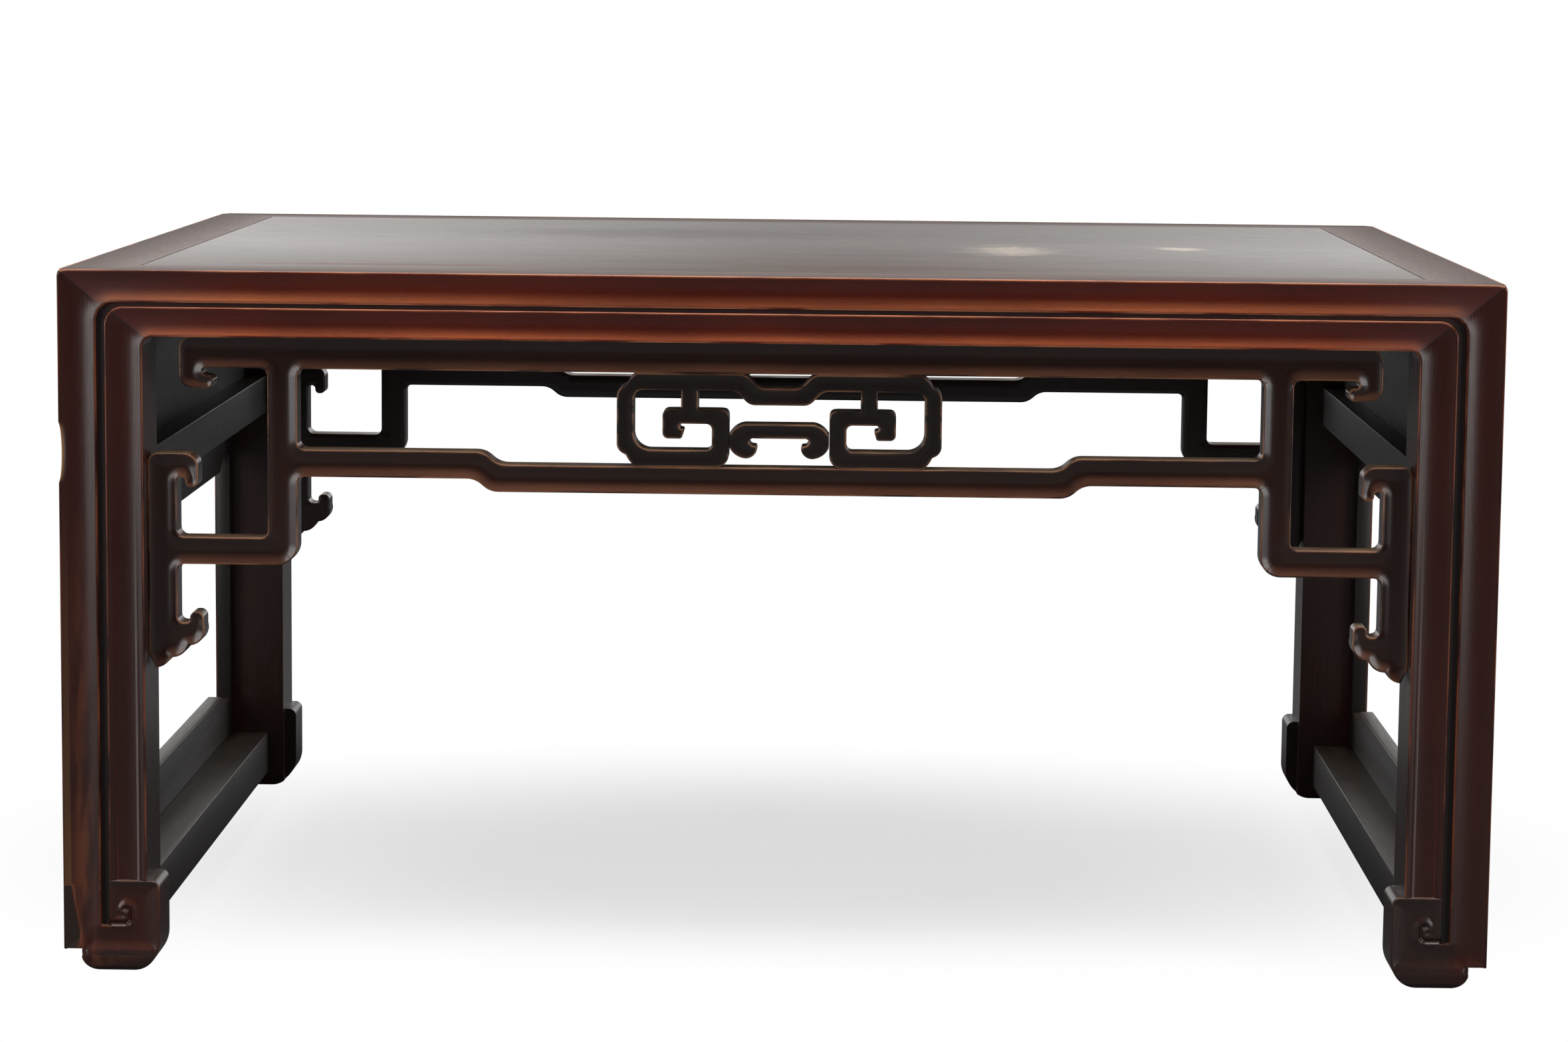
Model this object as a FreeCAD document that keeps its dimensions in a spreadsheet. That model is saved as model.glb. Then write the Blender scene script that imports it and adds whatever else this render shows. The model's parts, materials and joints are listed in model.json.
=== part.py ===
"""Kang table of dark hardwood, as the separate pieces that a joiner would make.

The frame stands on the floor with its origin under the middle of the top. X runs along the
length of the table, Y from front to back and Z up. All sizes are millimetres and are kept in
the sheet Sizes. Most pieces are drawn once in the frame of one side of the table, where x runs
along the side, y is the distance in from its face and z is the height, and are then turned to
each side that carries them.
"""

import FreeCAD, Part
import math
import os

import Sketcher

Vector = FreeCAD.Vector
Rotation = FreeCAD.Rotation

SIZES = (
    ("top_length", 840, "length of the top"),
    ("top_depth", 640, "depth of the top"),
    ("table_height", 417, "height of the top above the floor"),
    ("rail_width", 42, "width of a top rail, seen from above"),
    ("rail_band", 19, "height of the moulded face of a top rail"),
    ("rail_step", 2.5, "height of the sunk strip under that face"),
    ("leg_width", 49.5, "side of the square leg"),
    ("leg_outer_band", 22.5, "width of the outer moulding of a leg"),
    ("leg_groove", 4.8, "width of the groove between the two mouldings of a leg"),
    ("groove_depth", 4.5, "depth of that groove and of the sunk strip"),
    ("bead_radius", 1.4, "rounding of the raised edge of a moulding"),
    ("dish_depth", 1.6, "depth of the hollow between the raised edges"),
    ("band_corner", 11.0, "rounding where the groove turns the corner"),
    ("opening_corner", 6.0, "rounding of the corner between leg and apron"),
    ("apron_height", 17.5, "height of an apron"),
    ("apron_thickness", 28, "thickness of an apron"),
    ("apron_tongue", 5, "thickness of the tongue on top of an apron"),
    ("apron_tongue_rise", 4, "height of that tongue"),
    ("apron_tongue_set_back", 11, "distance of that tongue from the face"),
    ("apron_tenon", 6, "thickness of the tenon at the end of an apron"),
    ("apron_tenon_length", 12, "length of that tenon"),
    ("apron_tenon_margin", 1.5, "wood between that tenon and the lower edge"),
    ("panel_thickness", 14, "thickness of the top panel"),
    ("panel_gap", 0.8, "gap between the panel and the rails, for the wood to move"),
    ("panel_tongue", 5, "thickness of the tongue round the panel"),
    ("panel_tongue_length", 7, "reach of that tongue into the rails"),
    ("panel_tongue_drop", 6, "depth of that tongue below the top"),
    ("fit_clearance", 0.2, "clearance on each side of a tongue, tenon or key"),
    ("corner_tenon_place", 16, "distance of the corner tenon of a rail from the face"),
    ("corner_tenon_width", 8, "width of that tenon"),
    ("corner_tenon_end", 8, "distance of its end from the outer face of the next rail"),
    ("corner_tenon_drop", 5, "depth of that tenon below the top"),
    ("corner_tenon_height", 4.5, "height of that tenon"),
    ("leg_tenon_margin", 1, "wood between the tenons on a leg and the apron"),
    ("leg_tenon_thickness", 4.5, "thickness of a tenon on top of a leg"),
    ("leg_tenon_length", 6.5, "length of that tenon, seen from above"),
    ("leg_tenon_rise", 9, "height of that tenon"),
    ("batten_place", 150, "distance of a batten from the middle of the top"),
    ("batten_width", 34, "width of a batten"),
    ("batten_height", 18, "height of a batten"),
    ("batten_tenon", 10, "length of the tenon at the end of a batten"),
    ("batten_tenon_shoulder", 5, "shoulder beside that tenon"),
    ("batten_tenon_margin", 1.5, "wood below that tenon in the rail"),
    ("dovetail_neck", 12, "width of the dovetail where it leaves the batten"),
    ("dovetail_crown", 16, "width of the dovetail inside the panel"),
    ("dovetail_rise", 3, "height of the dovetail"),
    ("foot_width", 57, "width of a foot, seen from the front"),
    ("foot_height", 56, "height of the carved foot"),
    ("foot_corner", 5, "rounding of the upper inner corner of a foot"),
    ("foot_curve", 20, "rounding of the lower inner corner of a foot"),
    ("foot_sole_curve", 11, "rounding of the sole, seen from the side"),
    ("foot_depth", 36, "depth of the part of a foot that turns inward"),
    ("sole_spread", 15, "width of the curve at the outer end of the sole"),
    ("sole_rise", 9, "height of that curve"),
    ("pad_inset", 10.8, "step between the outer face of a leg and the sole"),
    ("pad_height", 14.5, "height of the sole under that step"),
    ("scroll_level", 29, "height of the lowest turn of the foot's carved scroll"),
    ("scroll_groove", 2.6, "width of the line of the scroll"),
    ("scroll_depth", 2.2, "depth of the line of the scroll"),
    ("scroll_reach", 40.5, "distance of the scroll's far turn from the outer face"),
    ("scroll_rise", 13.5, "height of the scroll's inner turn"),
    ("scroll_hook", 6, "length of the scroll's inner end"),
    ("stretcher_width", 39, "width of a floor stretcher"),
    ("stretcher_level", 12, "height of its underside above the floor"),
    ("stretcher_height", 30, "height of a floor stretcher"),
    ("ledge_hollow", 1.6, "hollow in the upper face of a floor stretcher"),
    ("side_rail_height", 27, "height of an upper side rail"),
    ("side_rail_set_back", 2, "distance of its face behind the face of the leg"),
    ("side_tenon_place", 13, "distance of the side tenons from the face"),
    ("side_tenon_width", 13, "width of the side tenons"),
    ("side_tenon_length", 18, "length of the side tenons"),
    ("side_tenon_shoulder", 6, "shoulder above and below the side tenons"),
    ("side_panel_height", 75, "height of a side panel between apron and side rail"),
    ("side_panel_set_back", 13, "distance of a side panel behind the face"),
    ("side_panel_thickness", 12, "thickness of a side panel"),
    ("side_panel_tongue", 5, "thickness of the tongue at each end of a side panel"),
    ("side_panel_tongue_reach", 5, "reach of that tongue into the legs"),
    ("side_panel_tongue_margin", 8, "wood above and below that tongue"),
    ("lining_set_back", 3, "distance of the inner frame behind the face"),
    ("lining_thickness", 10, "thickness of the inner frame of the side opening"),
    ("lining_width", 12, "width of its upright strips"),
    ("lining_top_drop", 38.5, "depth of its upper strip in the middle"),
    ("lining_bottom_rise", 34, "height of its lower strip in the middle"),
    ("lining_notch", 8, "step of the strips near the legs"),
    ("lining_notch_length", 44, "length of that step"),
    ("lining_ramp", 16, "length of the slope beside that step"),
    ("lining_round", 6, "rounding of the outline of the inner frame"),
    ("fret_set_back", 15.5, "distance of the fretwork behind the face of the table"),
    ("fret_thickness", 19, "thickness of the fretwork"),
    ("fret_top_height", 19, "height of its top bar"),
    ("fret_bar", 16, "height of its other level bars"),
    ("fret_post", 17.5, "width of its posts"),
    ("fret_post_place", 79.3, "distance of the middle of a post from the leg"),
    ("fret_lower_drop", 66.5, "top of the lower bar below the apron"),
    ("fret_dip", 7.6, "drop of the middle of the lower bar"),
    ("fret_dip_half", 164.3, "half the length of the dropped middle"),
    ("fret_dip_ramp", 8.7, "length of the slope beside it"),
    ("fret_dip_spread", 5.1, "how much further out the lower edge slopes"),
    ("fret_dip_round", 13, "rounding at both ends of that slope"),
    ("fret_side_drop", 119, "top of the short side bars below the apron"),
    ("fret_shoulder", 7.2, "depth of the pointed shoulder where two bars meet"),
    ("fret_inner_round", 4.6, "rounding of the inner corners of the fretwork"),
    ("fret_outer_round", 8, "rounding of the ends of its top bar"),
    ("fret_elbow_round", 12, "rounding of the corner between a post and a side bar"),
    ("fret_stub", 5, "length and thickness of a stub tenon in the fretwork"),
    ("hook_end", 19, "distance of the ends of the top bar from the leg"),
    ("hook_drop", 12, "drop of the hooks at those ends"),
    ("hook_crook", 13.5, "width of the upright part of such a hook"),
    ("hook_tip", 6.3, "length of the tip of such a hook"),
    ("hook_tip_height", 7.4, "height of that tip"),
    ("hook_round", 3.6, "rounding of the hooks"),
    ("side_piece_drop", 69.5, "top of the side pieces below the apron"),
    ("side_piece_length", 127.5, "length of a side piece"),
    ("side_piece_width", 17, "width of a side piece"),
    ("side_hook_reach", 29.5, "reach of its upper hook from the leg"),
    ("side_hook_drop", 20, "length of that hook"),
    ("side_hook_neck", 14.2, "height of its neck"),
    ("side_hook_tip", 7.2, "width of its tip"),
    ("cloud_reach", 33, "reach of its lower hook from the leg"),
    ("cloud_height", 33.5, "height of the lower hook above the end of the piece"),
    ("scroll_half", 95.1, "half the length of the centre ornament"),
    ("scroll_bar", 10, "width of its bars"),
    ("scroll_inner_bar", 8.2, "height of the bar inside a scroll"),
    ("scroll_dip", 8.3, "drop of the middle of its top bar"),
    ("scroll_dip_half", 12, "half the length of that dropped middle"),
    ("scroll_dip_ramp", 8, "length of the slope beside it"),
    ("scroll_dip_spread", 5.5, "how much further out the lower edge slopes"),
    ("scroll_dip_round", 8, "rounding at both ends of that slope"),
    ("scroll_inner_end", 29.4, "distance of a scroll's inner side from the middle"),
    ("scroll_tail", 68.3, "distance of a scroll's inner end from the middle"),
    ("scroll_tail_level", 16.7, "height of the end of the scroll above the lower bar"),
    ("scroll_tip", 2.9, "length of the tip at the end of a scroll"),
    ("scroll_tip_level", 22.4, "height of that tip above the lower bar"),
    ("scroll_turn_level", 25.5, "underside of its inner bar above the lower bar"),
    ("scroll_post_place", 52.5, "distance of a scroll's short post from the middle"),
    ("scroll_seam_drop", 20.5, "distance of a scroll's joint below the top"),
    ("scroll_corner", 13.5, "height of the lobed outer corners of the ornament"),
    ("scroll_window", 10, "rounding of the inside of those corners"),
    ("scroll_heel", 7.5, "rounding of the lower corner beside the bridge"),
    ("scroll_round", 3.4, "rounding of the other corners of the ornament"),
    ("bridge_half", 29.1, "half the length of the bridge"),
    ("bridge_height", 25.7, "top of the bridge above the lower bar"),
    ("key_width", 20, "width of a loose key"),
    ("key_thickness", 7, "thickness of a loose key"),
    ("key_reach", 7.5, "reach of a loose key into each piece"),
    ("key_place", 170.5, "distance of the upper keys from the leg"),
    ("overrun", 2, "reach of a cutting shape past the wood"),
)

QUARTER_SHARE = 1 - math.sqrt(0.5)

NEAR_SHARE = 1 - math.cos(math.pi / 8)
FAR_SHARE = 1 - math.sin(math.pi / 8)
THROUGH = None

# Outlines of small carved ends, as shares of their reach, their height and their rounding.
# A point marked THROUGH is the middle of an arc between its neighbours.
CLOUD_SHARES = (
    (0.736, 0.806, 0.25), (0.736, 1, 0.4), (0.985, 1, 0.5), (0.985, 0.746, 0),
    (0.927, 0.496, THROUGH), (0.706, 0.406, 0), (0.603, 0.257, THROUGH), (0.391, 0.188, 0),
    (0.281, 0.057, THROUGH), (0.118, 0, 0), (0, 0.25, 0.4),
)
LOBE_SHARES = (
    (0, 1, 0), (0.094, 0.724, THROUGH), (0.326, 0.548, 0), (0.407, 0.504, 0),
    (0.578, 0.219, THROUGH), (0.83, 0, 0),
)
BRIDGE_SHARES = (
    (0.49, 0.673, 0), (0.578, 0.646, THROUGH), (0.602, 0.584, 0), (0.547, 0.514, 0.3),
    (0.457, 0.498, 0.2), (0.44, 0.428, 0), (0.523, 0.272, THROUGH), (0.681, 0.214, 0),
    (0.87, 0.292, THROUGH), (1, 0.467, 0), (1, 0.759, 0), (0.891, 0.903, THROUGH), (0.688, 1, 0),
)

doc = FreeCAD.newDocument("kang_table")
sheet = doc.addObject("Spreadsheet::Sheet", "Sizes")


class Size:
    """A length: its value in millimetres and the sheet formula that gives it."""

    def __init__(self, value, text):
        self.value = float(value)
        self.text = text

    def _join(self, other, sign, value):
        return Size(value, "(%s %s %s)" % (self.text, sign, other.text))

    def __add__(self, other):
        return self._join(other, "+", self.value + other.value)

    def __sub__(self, other):
        return self._join(other, "-", self.value - other.value)

    def __mul__(self, factor):
        return Size(self.value * factor, "(%s * %.9g)" % (self.text, factor))

    def __truediv__(self, divisor):
        return Size(self.value / divisor, "(%s / %.9g)" % (self.text, divisor))

    def __neg__(self):
        return Size(-self.value, "(0 - %s)" % self.text)


ZERO = Size(0, "0")


def read_sizes():
    """Writes the driving sizes to the sheet and returns them by name."""
    sizes = {}
    for row, (name, value, note) in enumerate(SIZES, start=1):
        sheet.set("A%d" % row, name)
        sheet.set("B%d" % row, str(value))
        sheet.set("C%d" % row, note)
        sheet.setAlias("B%d" % row, name)
        sizes[name] = Size(value, "Sizes." + name)
    return sizes


S = read_sizes()
doc.recompute()


class Path:
    """A closed outline of straight and round stretches, each point a pair of sizes."""

    def __init__(self, x, y):
        self.start = (x, y)
        self.last = (x, y)
        self.stretches = []

    def to(self, x, y):
        """Runs straight to a point."""
        self.stretches.append((self.last, None, (x, y)))
        self.last = (x, y)
        return self

    def bow(self, middle_x, middle_y, x, y):
        """Runs along the arc through a middle point."""
        self.stretches.append((self.last, (middle_x, middle_y), (x, y)))
        self.last = (x, y)
        return self

    def corner(self, x, y, along, away, radius):
        """Turns a square corner at x, y, from direction along to direction away."""
        (ax, ay), (bx, by) = TURN_SHARES[along], TURN_SHARES[away]
        self.to(x - radius * ax, y - radius * ay)
        short = radius * QUARTER_SHARE
        middle_x = x + short * (bx - ax)
        middle_y = y + short * (by - ay)
        return self.bow(middle_x, middle_y, x + radius * bx, y + radius * by)

    def closed(self):
        """The stretches, with the last one back to the start."""
        return self.stretches + [(self.last, None, self.start)]


# How a section lies: its across, up and outward directions as shares of each axis, and the
# axis that it is drawn out along.
PLAN_SHARES = ((1, 0, 0), (0, 1, 0), (0, 0, 1), "z")
FRONT_SHARES = ((1, 0, 0), (0, 0, 1), (0, -1, 0), "y")
SECTION_SHARES = ((0, 1, 0), (0, 0, 1), (1, 0, 0), "x")
TURN_SHARES = {"left": (-1, 0), "right": (1, 0), "up": (0, 1), "down": (0, -1)}


def point(pair):
    """The point of a pair of sizes in the plane of a sketch."""
    return Vector(pair[0].value, pair[1].value, 0)


def draw(name, path):
    """Draws a path as a sketch whose points are bound to the sheet."""
    sketch = doc.addObject("Sketcher::SketchObject", name + "_outline")

    def pin(geometry, vertex, pair):
        for kind, size in zip(("DistanceX", "DistanceY"), pair):
            rule = Sketcher.Constraint(kind, -1, 1, geometry, vertex, size.value)
            index = sketch.addConstraint(rule)
            sketch.setExpression("Constraints[%d]" % index, size.text)

    ends = []
    for start, middle, end in path.closed():
        if middle is None:
            line = Part.LineSegment(point(start), point(end))
            index = sketch.addGeometry(line, False)
            ends.append((index, 1, 2))
        else:
            arc = Part.Arc(point(start), point(middle), point(end))
            index = sketch.addGeometry(arc, False)
            forward = sketch.getPoint(index, 1).isEqual(point(start), Part.Precision.confusion())
            ends.append((index, 1, 2) if forward else (index, 2, 1))
            mark = sketch.addGeometry(Part.Point(point(middle)), True)
            pin(mark, 1, middle)
            sketch.addConstraint(Sketcher.Constraint("PointOnObject", mark, 1, index))
        pin(index, ends[-1][1], start)
    for (this, _, finish), (following, begin, _) in zip(ends, ends[1:] + ends[:1]):
        sketch.addConstraint(Sketcher.Constraint("Coincident", this, finish, following, begin))
    return sketch


def prism(name, plane, path, near, far):
    """A straight solid of the path's section between two places along the plane's axis."""
    across, up, normal = (Vector(*direction) for direction in plane[:-1])
    axis = plane[-1]
    sketch = draw(name, path)
    turn = Rotation(across, up, normal, "ZXY")
    sketch.Placement = FreeCAD.Placement(Vector(0, 0, 0), turn)
    backward = normal.x + normal.y + normal.z < 0
    sketch.setExpression("Placement.Base." + axis, (far if backward else near).text)
    solid = doc.addObject("Part::Extrusion", name)
    solid.Base = sketch
    solid.DirMode = "Custom"
    solid.Dir = normal
    solid.Solid = True
    solid.setExpression("LengthFwd", (far - near).text)
    return solid


def box(name, near_x, far_x, near_y, far_y, near_z, far_z):
    """A box between two places along each axis."""
    solid = doc.addObject("Part::Box", name)
    spans = ((near_x, far_x, "Length", "x"), (near_y, far_y, "Width", "y"), (near_z, far_z, "Height", "z"))
    for near, far, side, axis in spans:
        solid.setExpression(side, (far - near).text)
        solid.setExpression("Placement.Base." + axis, near.text)
    return solid


def fused(name, pieces):
    """The union of several solids."""
    union = doc.addObject("Part::MultiFuse", name)
    union.Shapes = pieces
    union.Refine = True
    return union


def less(name, base, tools):
    """A solid less one or more cutting shapes."""
    cut = doc.addObject("Part::Cut", name)
    cut.Base = base
    cut.Tool = tools[0] if len(tools) == 1 else fused(name + "_tools", tools)
    cut.Refine = True
    return cut


HALF_LENGTH = S["top_length"] / 2
HALF_DEPTH = S["top_depth"] / 2
TOP = S["table_height"]
RAIL_BOTTOM = TOP - S["rail_band"] - S["rail_step"]
APRON_BOTTOM = RAIL_BOTTOM - S["apron_height"]
LEG = S["leg_width"]
INNER_BAND = S["leg_outer_band"] + S["leg_groove"]
OVER = S["overrun"]
FIT = S["fit_clearance"]
LEDGE = S["stretcher_level"] + S["stretcher_height"]
SIDE_RAIL_TOP = APRON_BOTTOM - S["side_panel_height"]
SIDE_RAIL_LEVEL = SIDE_RAIL_TOP - S["side_rail_height"]
LEG_FACE = HALF_LENGTH - S["leg_width"]

SIDES = {"front": (0, ZERO, -HALF_DEPTH), "right": (90, HALF_LENGTH, ZERO),
         "back": (180, ZERO, HALF_DEPTH), "left": (270, -HALF_LENGTH, ZERO)}
HALF_SPANS = {"front": HALF_LENGTH, "back": HALF_LENGTH, "left": HALF_DEPTH, "right": HALF_DEPTH}

finished = []


def finish(piece, label, side=None):
    """Turns a piece to its side of the table and lists it as a sub-part."""
    piece.Label = label
    if side:
        angle, x, y = SIDES[side]
        piece.Placement = FreeCAD.Placement(Vector(0, 0, 0), Rotation(Vector(0, 0, 1), angle))
        piece.setExpression("Placement.Base.x", x.text)
        piece.setExpression("Placement.Base.y", y.text)
    finished.append(piece)
    return piece


def mould(path, place, first, last, sign):
    """Adds one hollow moulding with a rounded edge at each end, from first to last."""
    bead = S["bead_radius"]
    short = bead * QUARTER_SHARE
    step = bead * sign
    path.bow(*place(first + short * sign, short), *place(first + step, ZERO))
    path.bow(*place((first + last) / 2, S["dish_depth"]), *place(last - step, ZERO))
    path.bow(*place(last - short * sign, short), *place(last, bead))


def upright(along, depth):
    """The point of an upright face: its height and its depth behind the face."""
    return depth, along


def level(along, depth):
    """The point of a face seen in plan: its place along the face and its depth."""
    return along, depth


def rail_tenon(name, half, sign, spare):
    """The tenon, or with spare its mortise, that joins a long rail to a short one."""
    near, far = S["corner_tenon_end"] - spare, S["rail_width"]
    ends = (half - far, half - near) if sign > 0 else (near - half, far - half)
    top = TOP - S["corner_tenon_drop"] + spare
    bottom = TOP - S["corner_tenon_drop"] - S["corner_tenon_height"] - spare
    place = S["corner_tenon_place"]
    return box(name, *ends, place - spare, place + S["corner_tenon_width"] + spare, bottom, top)


def corner_mortise(name, half, sign):
    """The mortise of a short rail, which receives the tenon of the long rail beside it."""
    near = S["corner_tenon_place"] - FIT
    far = S["corner_tenon_place"] + S["corner_tenon_width"] + FIT
    ends = (half - far, half - near) if sign > 0 else (near - half, far - half)
    top = TOP - S["corner_tenon_drop"] + FIT
    bottom = TOP - S["corner_tenon_drop"] - S["corner_tenon_height"] - FIT
    return box(name, *ends, S["corner_tenon_end"] - FIT, S["rail_width"] + OVER, bottom, top)


def plan_mitre(name, half, sign, bottom):
    """The cutter of the square corner, seen from above, at one end of a member."""
    reach = S["rail_width"] + OVER
    tip = half + OVER
    root = half - reach
    if sign > 0:
        path = Path(tip, -OVER).to(tip, reach).to(root, reach)
    else:
        path = Path(-tip, -OVER).to(-root, reach).to(-tip, reach)
    return prism(name, PLAN_SHARES, path, bottom, TOP + OVER)


def face_mitre(name, half, sign):
    """The cutter of the mitre between a rail and a leg, seen from the face."""
    slope = S["rail_band"].value / S["leg_outer_band"].value
    rise = Size(OVER.value * slope, "(%s * Sizes.rail_band / Sizes.leg_outer_band)" % OVER.text)
    out = half + OVER
    inner = half - S["leg_outer_band"]
    low = RAIL_BOTTOM - OVER
    if sign > 0:
        path = Path(out, TOP + rise).to(inner, TOP - S["rail_band"]).to(inner, low).to(out, low)
    else:
        path = Path(-out, TOP + rise).to(-out, low).to(-inner, low).to(-inner, TOP - S["rail_band"])
    return prism(name, FRONT_SHARES, path, -OVER, S["rail_width"] + OVER)


def leg_tenon_box(name, first, second, spare):
    """One tenon on top of a leg, or with spare its mortise, at two distances from the faces."""
    (near_a, far_a), (near_b, far_b) = first, second
    low = RAIL_BOTTOM - spare - OVER
    high = RAIL_BOTTOM + S["leg_tenon_rise"] + spare
    return box(name, near_a - spare, far_a + spare, near_b - spare, far_b + spare, low, high)


def leg_tenon_spans():
    """The two distances from the faces between which the tenons on a leg lie."""
    near = S["apron_thickness"] + S["leg_tenon_margin"]
    narrow = (near, near + S["leg_tenon_thickness"])
    start = narrow[1] + S["leg_tenon_margin"]
    return (start, start + S["leg_tenon_length"]), narrow


def top_rail(side):
    """One rail of the top: moulded face, sunk strip, groove for the panel and mitred ends."""
    name = "top_rail_" + side
    half = HALF_SPANS[side]
    width, gap = S["rail_width"], FIT
    slot_top = TOP - S["panel_tongue_drop"] + gap
    slot_bottom = TOP - S["panel_tongue_drop"] - S["panel_tongue"] - gap
    slot_end = width - S["panel_tongue_length"] - gap
    path = Path(S["groove_depth"], RAIL_BOTTOM).to(S["groove_depth"], TOP - S["rail_band"])
    path.to(S["bead_radius"], TOP - S["rail_band"])
    mould(path, upright, TOP - S["rail_band"], TOP, 1)
    path.to(width, TOP).to(width, slot_top).to(slot_end, slot_top)
    path.to(slot_end, slot_bottom).to(width, slot_bottom).to(width, RAIL_BOTTOM)
    near = S["apron_tongue_set_back"] - gap
    far = S["apron_tongue_set_back"] + S["apron_tongue"] + gap
    rise = RAIL_BOTTOM + S["apron_tongue_rise"] + gap
    path.to(far, RAIL_BOTTOM).to(far, rise).to(near, rise).to(near, RAIL_BOTTOM)
    body = prism(name + "_blank", SECTION_SHARES, path, -half, half)
    tools = []
    long_span, narrow_span = leg_tenon_spans()
    for sign, end in ((1, "a"), (-1, "b")):
        tools.append(plan_mitre("%s_mitre_%s" % (name, end), half, sign, RAIL_BOTTOM - OVER))
        tools.append(face_mitre("%s_face_mitre_%s" % (name, end), half, sign))
        near_x, far_x = long_span
        span = (half - far_x, half - near_x) if sign > 0 else (near_x - half, far_x - half)
        tools.append(leg_tenon_box("%s_leg_mortise_%s" % (name, end), span, narrow_span, FIT))
        if side in ("left", "right"):
            tools.append(corner_mortise("%s_mortise_%s" % (name, end), half, sign))
        else:
            place = S["batten_place"] * sign
            wide = S["batten_width"] / 2 - S["batten_tenon_shoulder"] + FIT
            low = RAIL_BOTTOM + S["batten_tenon_margin"] - FIT
            high = TOP - S["panel_thickness"]
            deep = width - S["batten_tenon"] - FIT
            mortise = "%s_batten_mortise_%s" % (name, end)
            tools.append(box(mortise, place - wide, place + wide, deep, width + OVER, low, high))
    rail = less(name, body, tools)
    if side in ("front", "back"):
        parts = [rail]
        for sign, end in ((1, "a"), (-1, "b")):
            parts.append(rail_tenon("%s_tenon_%s" % (name, end), half, sign, ZERO))
        rail.Label = name + "_cut"
        rail = fused(name + "_with_tenons", parts)
    return finish(rail, name, side)


def top_panel():
    """The floating panel, with a tongue all round and two dovetail grooves below."""
    half_x = HALF_LENGTH - S["rail_width"] - S["panel_gap"]
    half_y = HALF_DEPTH - S["rail_width"] - S["panel_gap"]
    reach = S["panel_tongue_length"] + S["panel_gap"]
    board = box("panel_board", -half_x, half_x, -half_y, half_y, TOP - S["panel_thickness"], TOP)
    high = TOP - S["panel_tongue_drop"]
    edge_x, edge_y = half_x + reach, half_y + reach
    tongue = box("panel_tongue", -edge_x, edge_x, -edge_y, edge_y, high - S["panel_tongue"], high)
    body = fused("panel_body", [board, tongue])
    tools = []
    for sign, end in ((-1, "left"), (1, "right")):
        path = dovetail(S["batten_place"] * sign, FIT, FIT)
        tools.append(prism("panel_dovetail_" + end, FRONT_SHARES, path, -edge_y - OVER, edge_y + OVER))
    return finish(less("top_panel", body, tools), "top_panel")


def dovetail(place, spare, below):
    """The outline of the dovetail on a batten, or with spare of its groove in the panel."""
    foot = TOP - S["panel_thickness"]
    crown = S["dovetail_crown"] / 2 + spare
    neck = S["dovetail_neck"] / 2 + spare
    high = foot + S["dovetail_rise"] + spare
    path = Path(place - neck, foot - below).to(place - neck, foot)
    path.to(place - crown, high).to(place + crown, high)
    return path.to(place + neck, foot).to(place + neck, foot - below)


def batten(end, sign):
    """A batten under the panel, dovetailed to it and tenoned into the long rails."""
    name = "batten_" + end
    place = S["batten_place"] * sign
    half = S["batten_width"] / 2
    long_y = HALF_DEPTH - S["rail_width"]
    high = TOP - S["panel_thickness"]
    bar = box(name + "_bar", place - half, place + half, -long_y, long_y, high - S["batten_height"], high)
    inner = half - S["batten_tenon_shoulder"]
    reach = long_y + S["batten_tenon"]
    low = RAIL_BOTTOM + S["batten_tenon_margin"]
    tenon = box(name + "_tenon", place - inner, place + inner, -reach, reach, low, high - FIT)
    ridge = prism(name + "_ridge", FRONT_SHARES, dovetail(place, ZERO, OVER), -long_y, long_y)
    return finish(fused(name, [bar, tenon, ridge]), name)


def apron_tenon_box(name, near, far, spare):
    """The tenon of an apron between two places along the side, or with spare its mortise."""
    place = S["apron_tongue_set_back"]
    low = APRON_BOTTOM + S["apron_tenon_margin"] - spare
    high = APRON_BOTTOM + S["apron_tenon_margin"] + S["apron_tenon"] + spare
    return box(name, near, far, place - spare, place + S["apron_tenon"] + spare, low, high)


def apron_band_corner(name, half, sign, far):
    """The cutter that rounds the outer corner where a leg's inner moulding meets the apron."""
    radius = S["band_corner"]
    out = half - INNER_BAND
    short = radius * QUARTER_SHARE
    x, turn = (out, 1) if sign > 0 else (-out, -1)
    path = Path(x, RAIL_BOTTOM).to(x, RAIL_BOTTOM - radius)
    path.bow(x - short * turn, RAIL_BOTTOM - short, x - radius * turn, RAIL_BOTTOM)
    return prism(name, FRONT_SHARES, path, -OVER, far)


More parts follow.
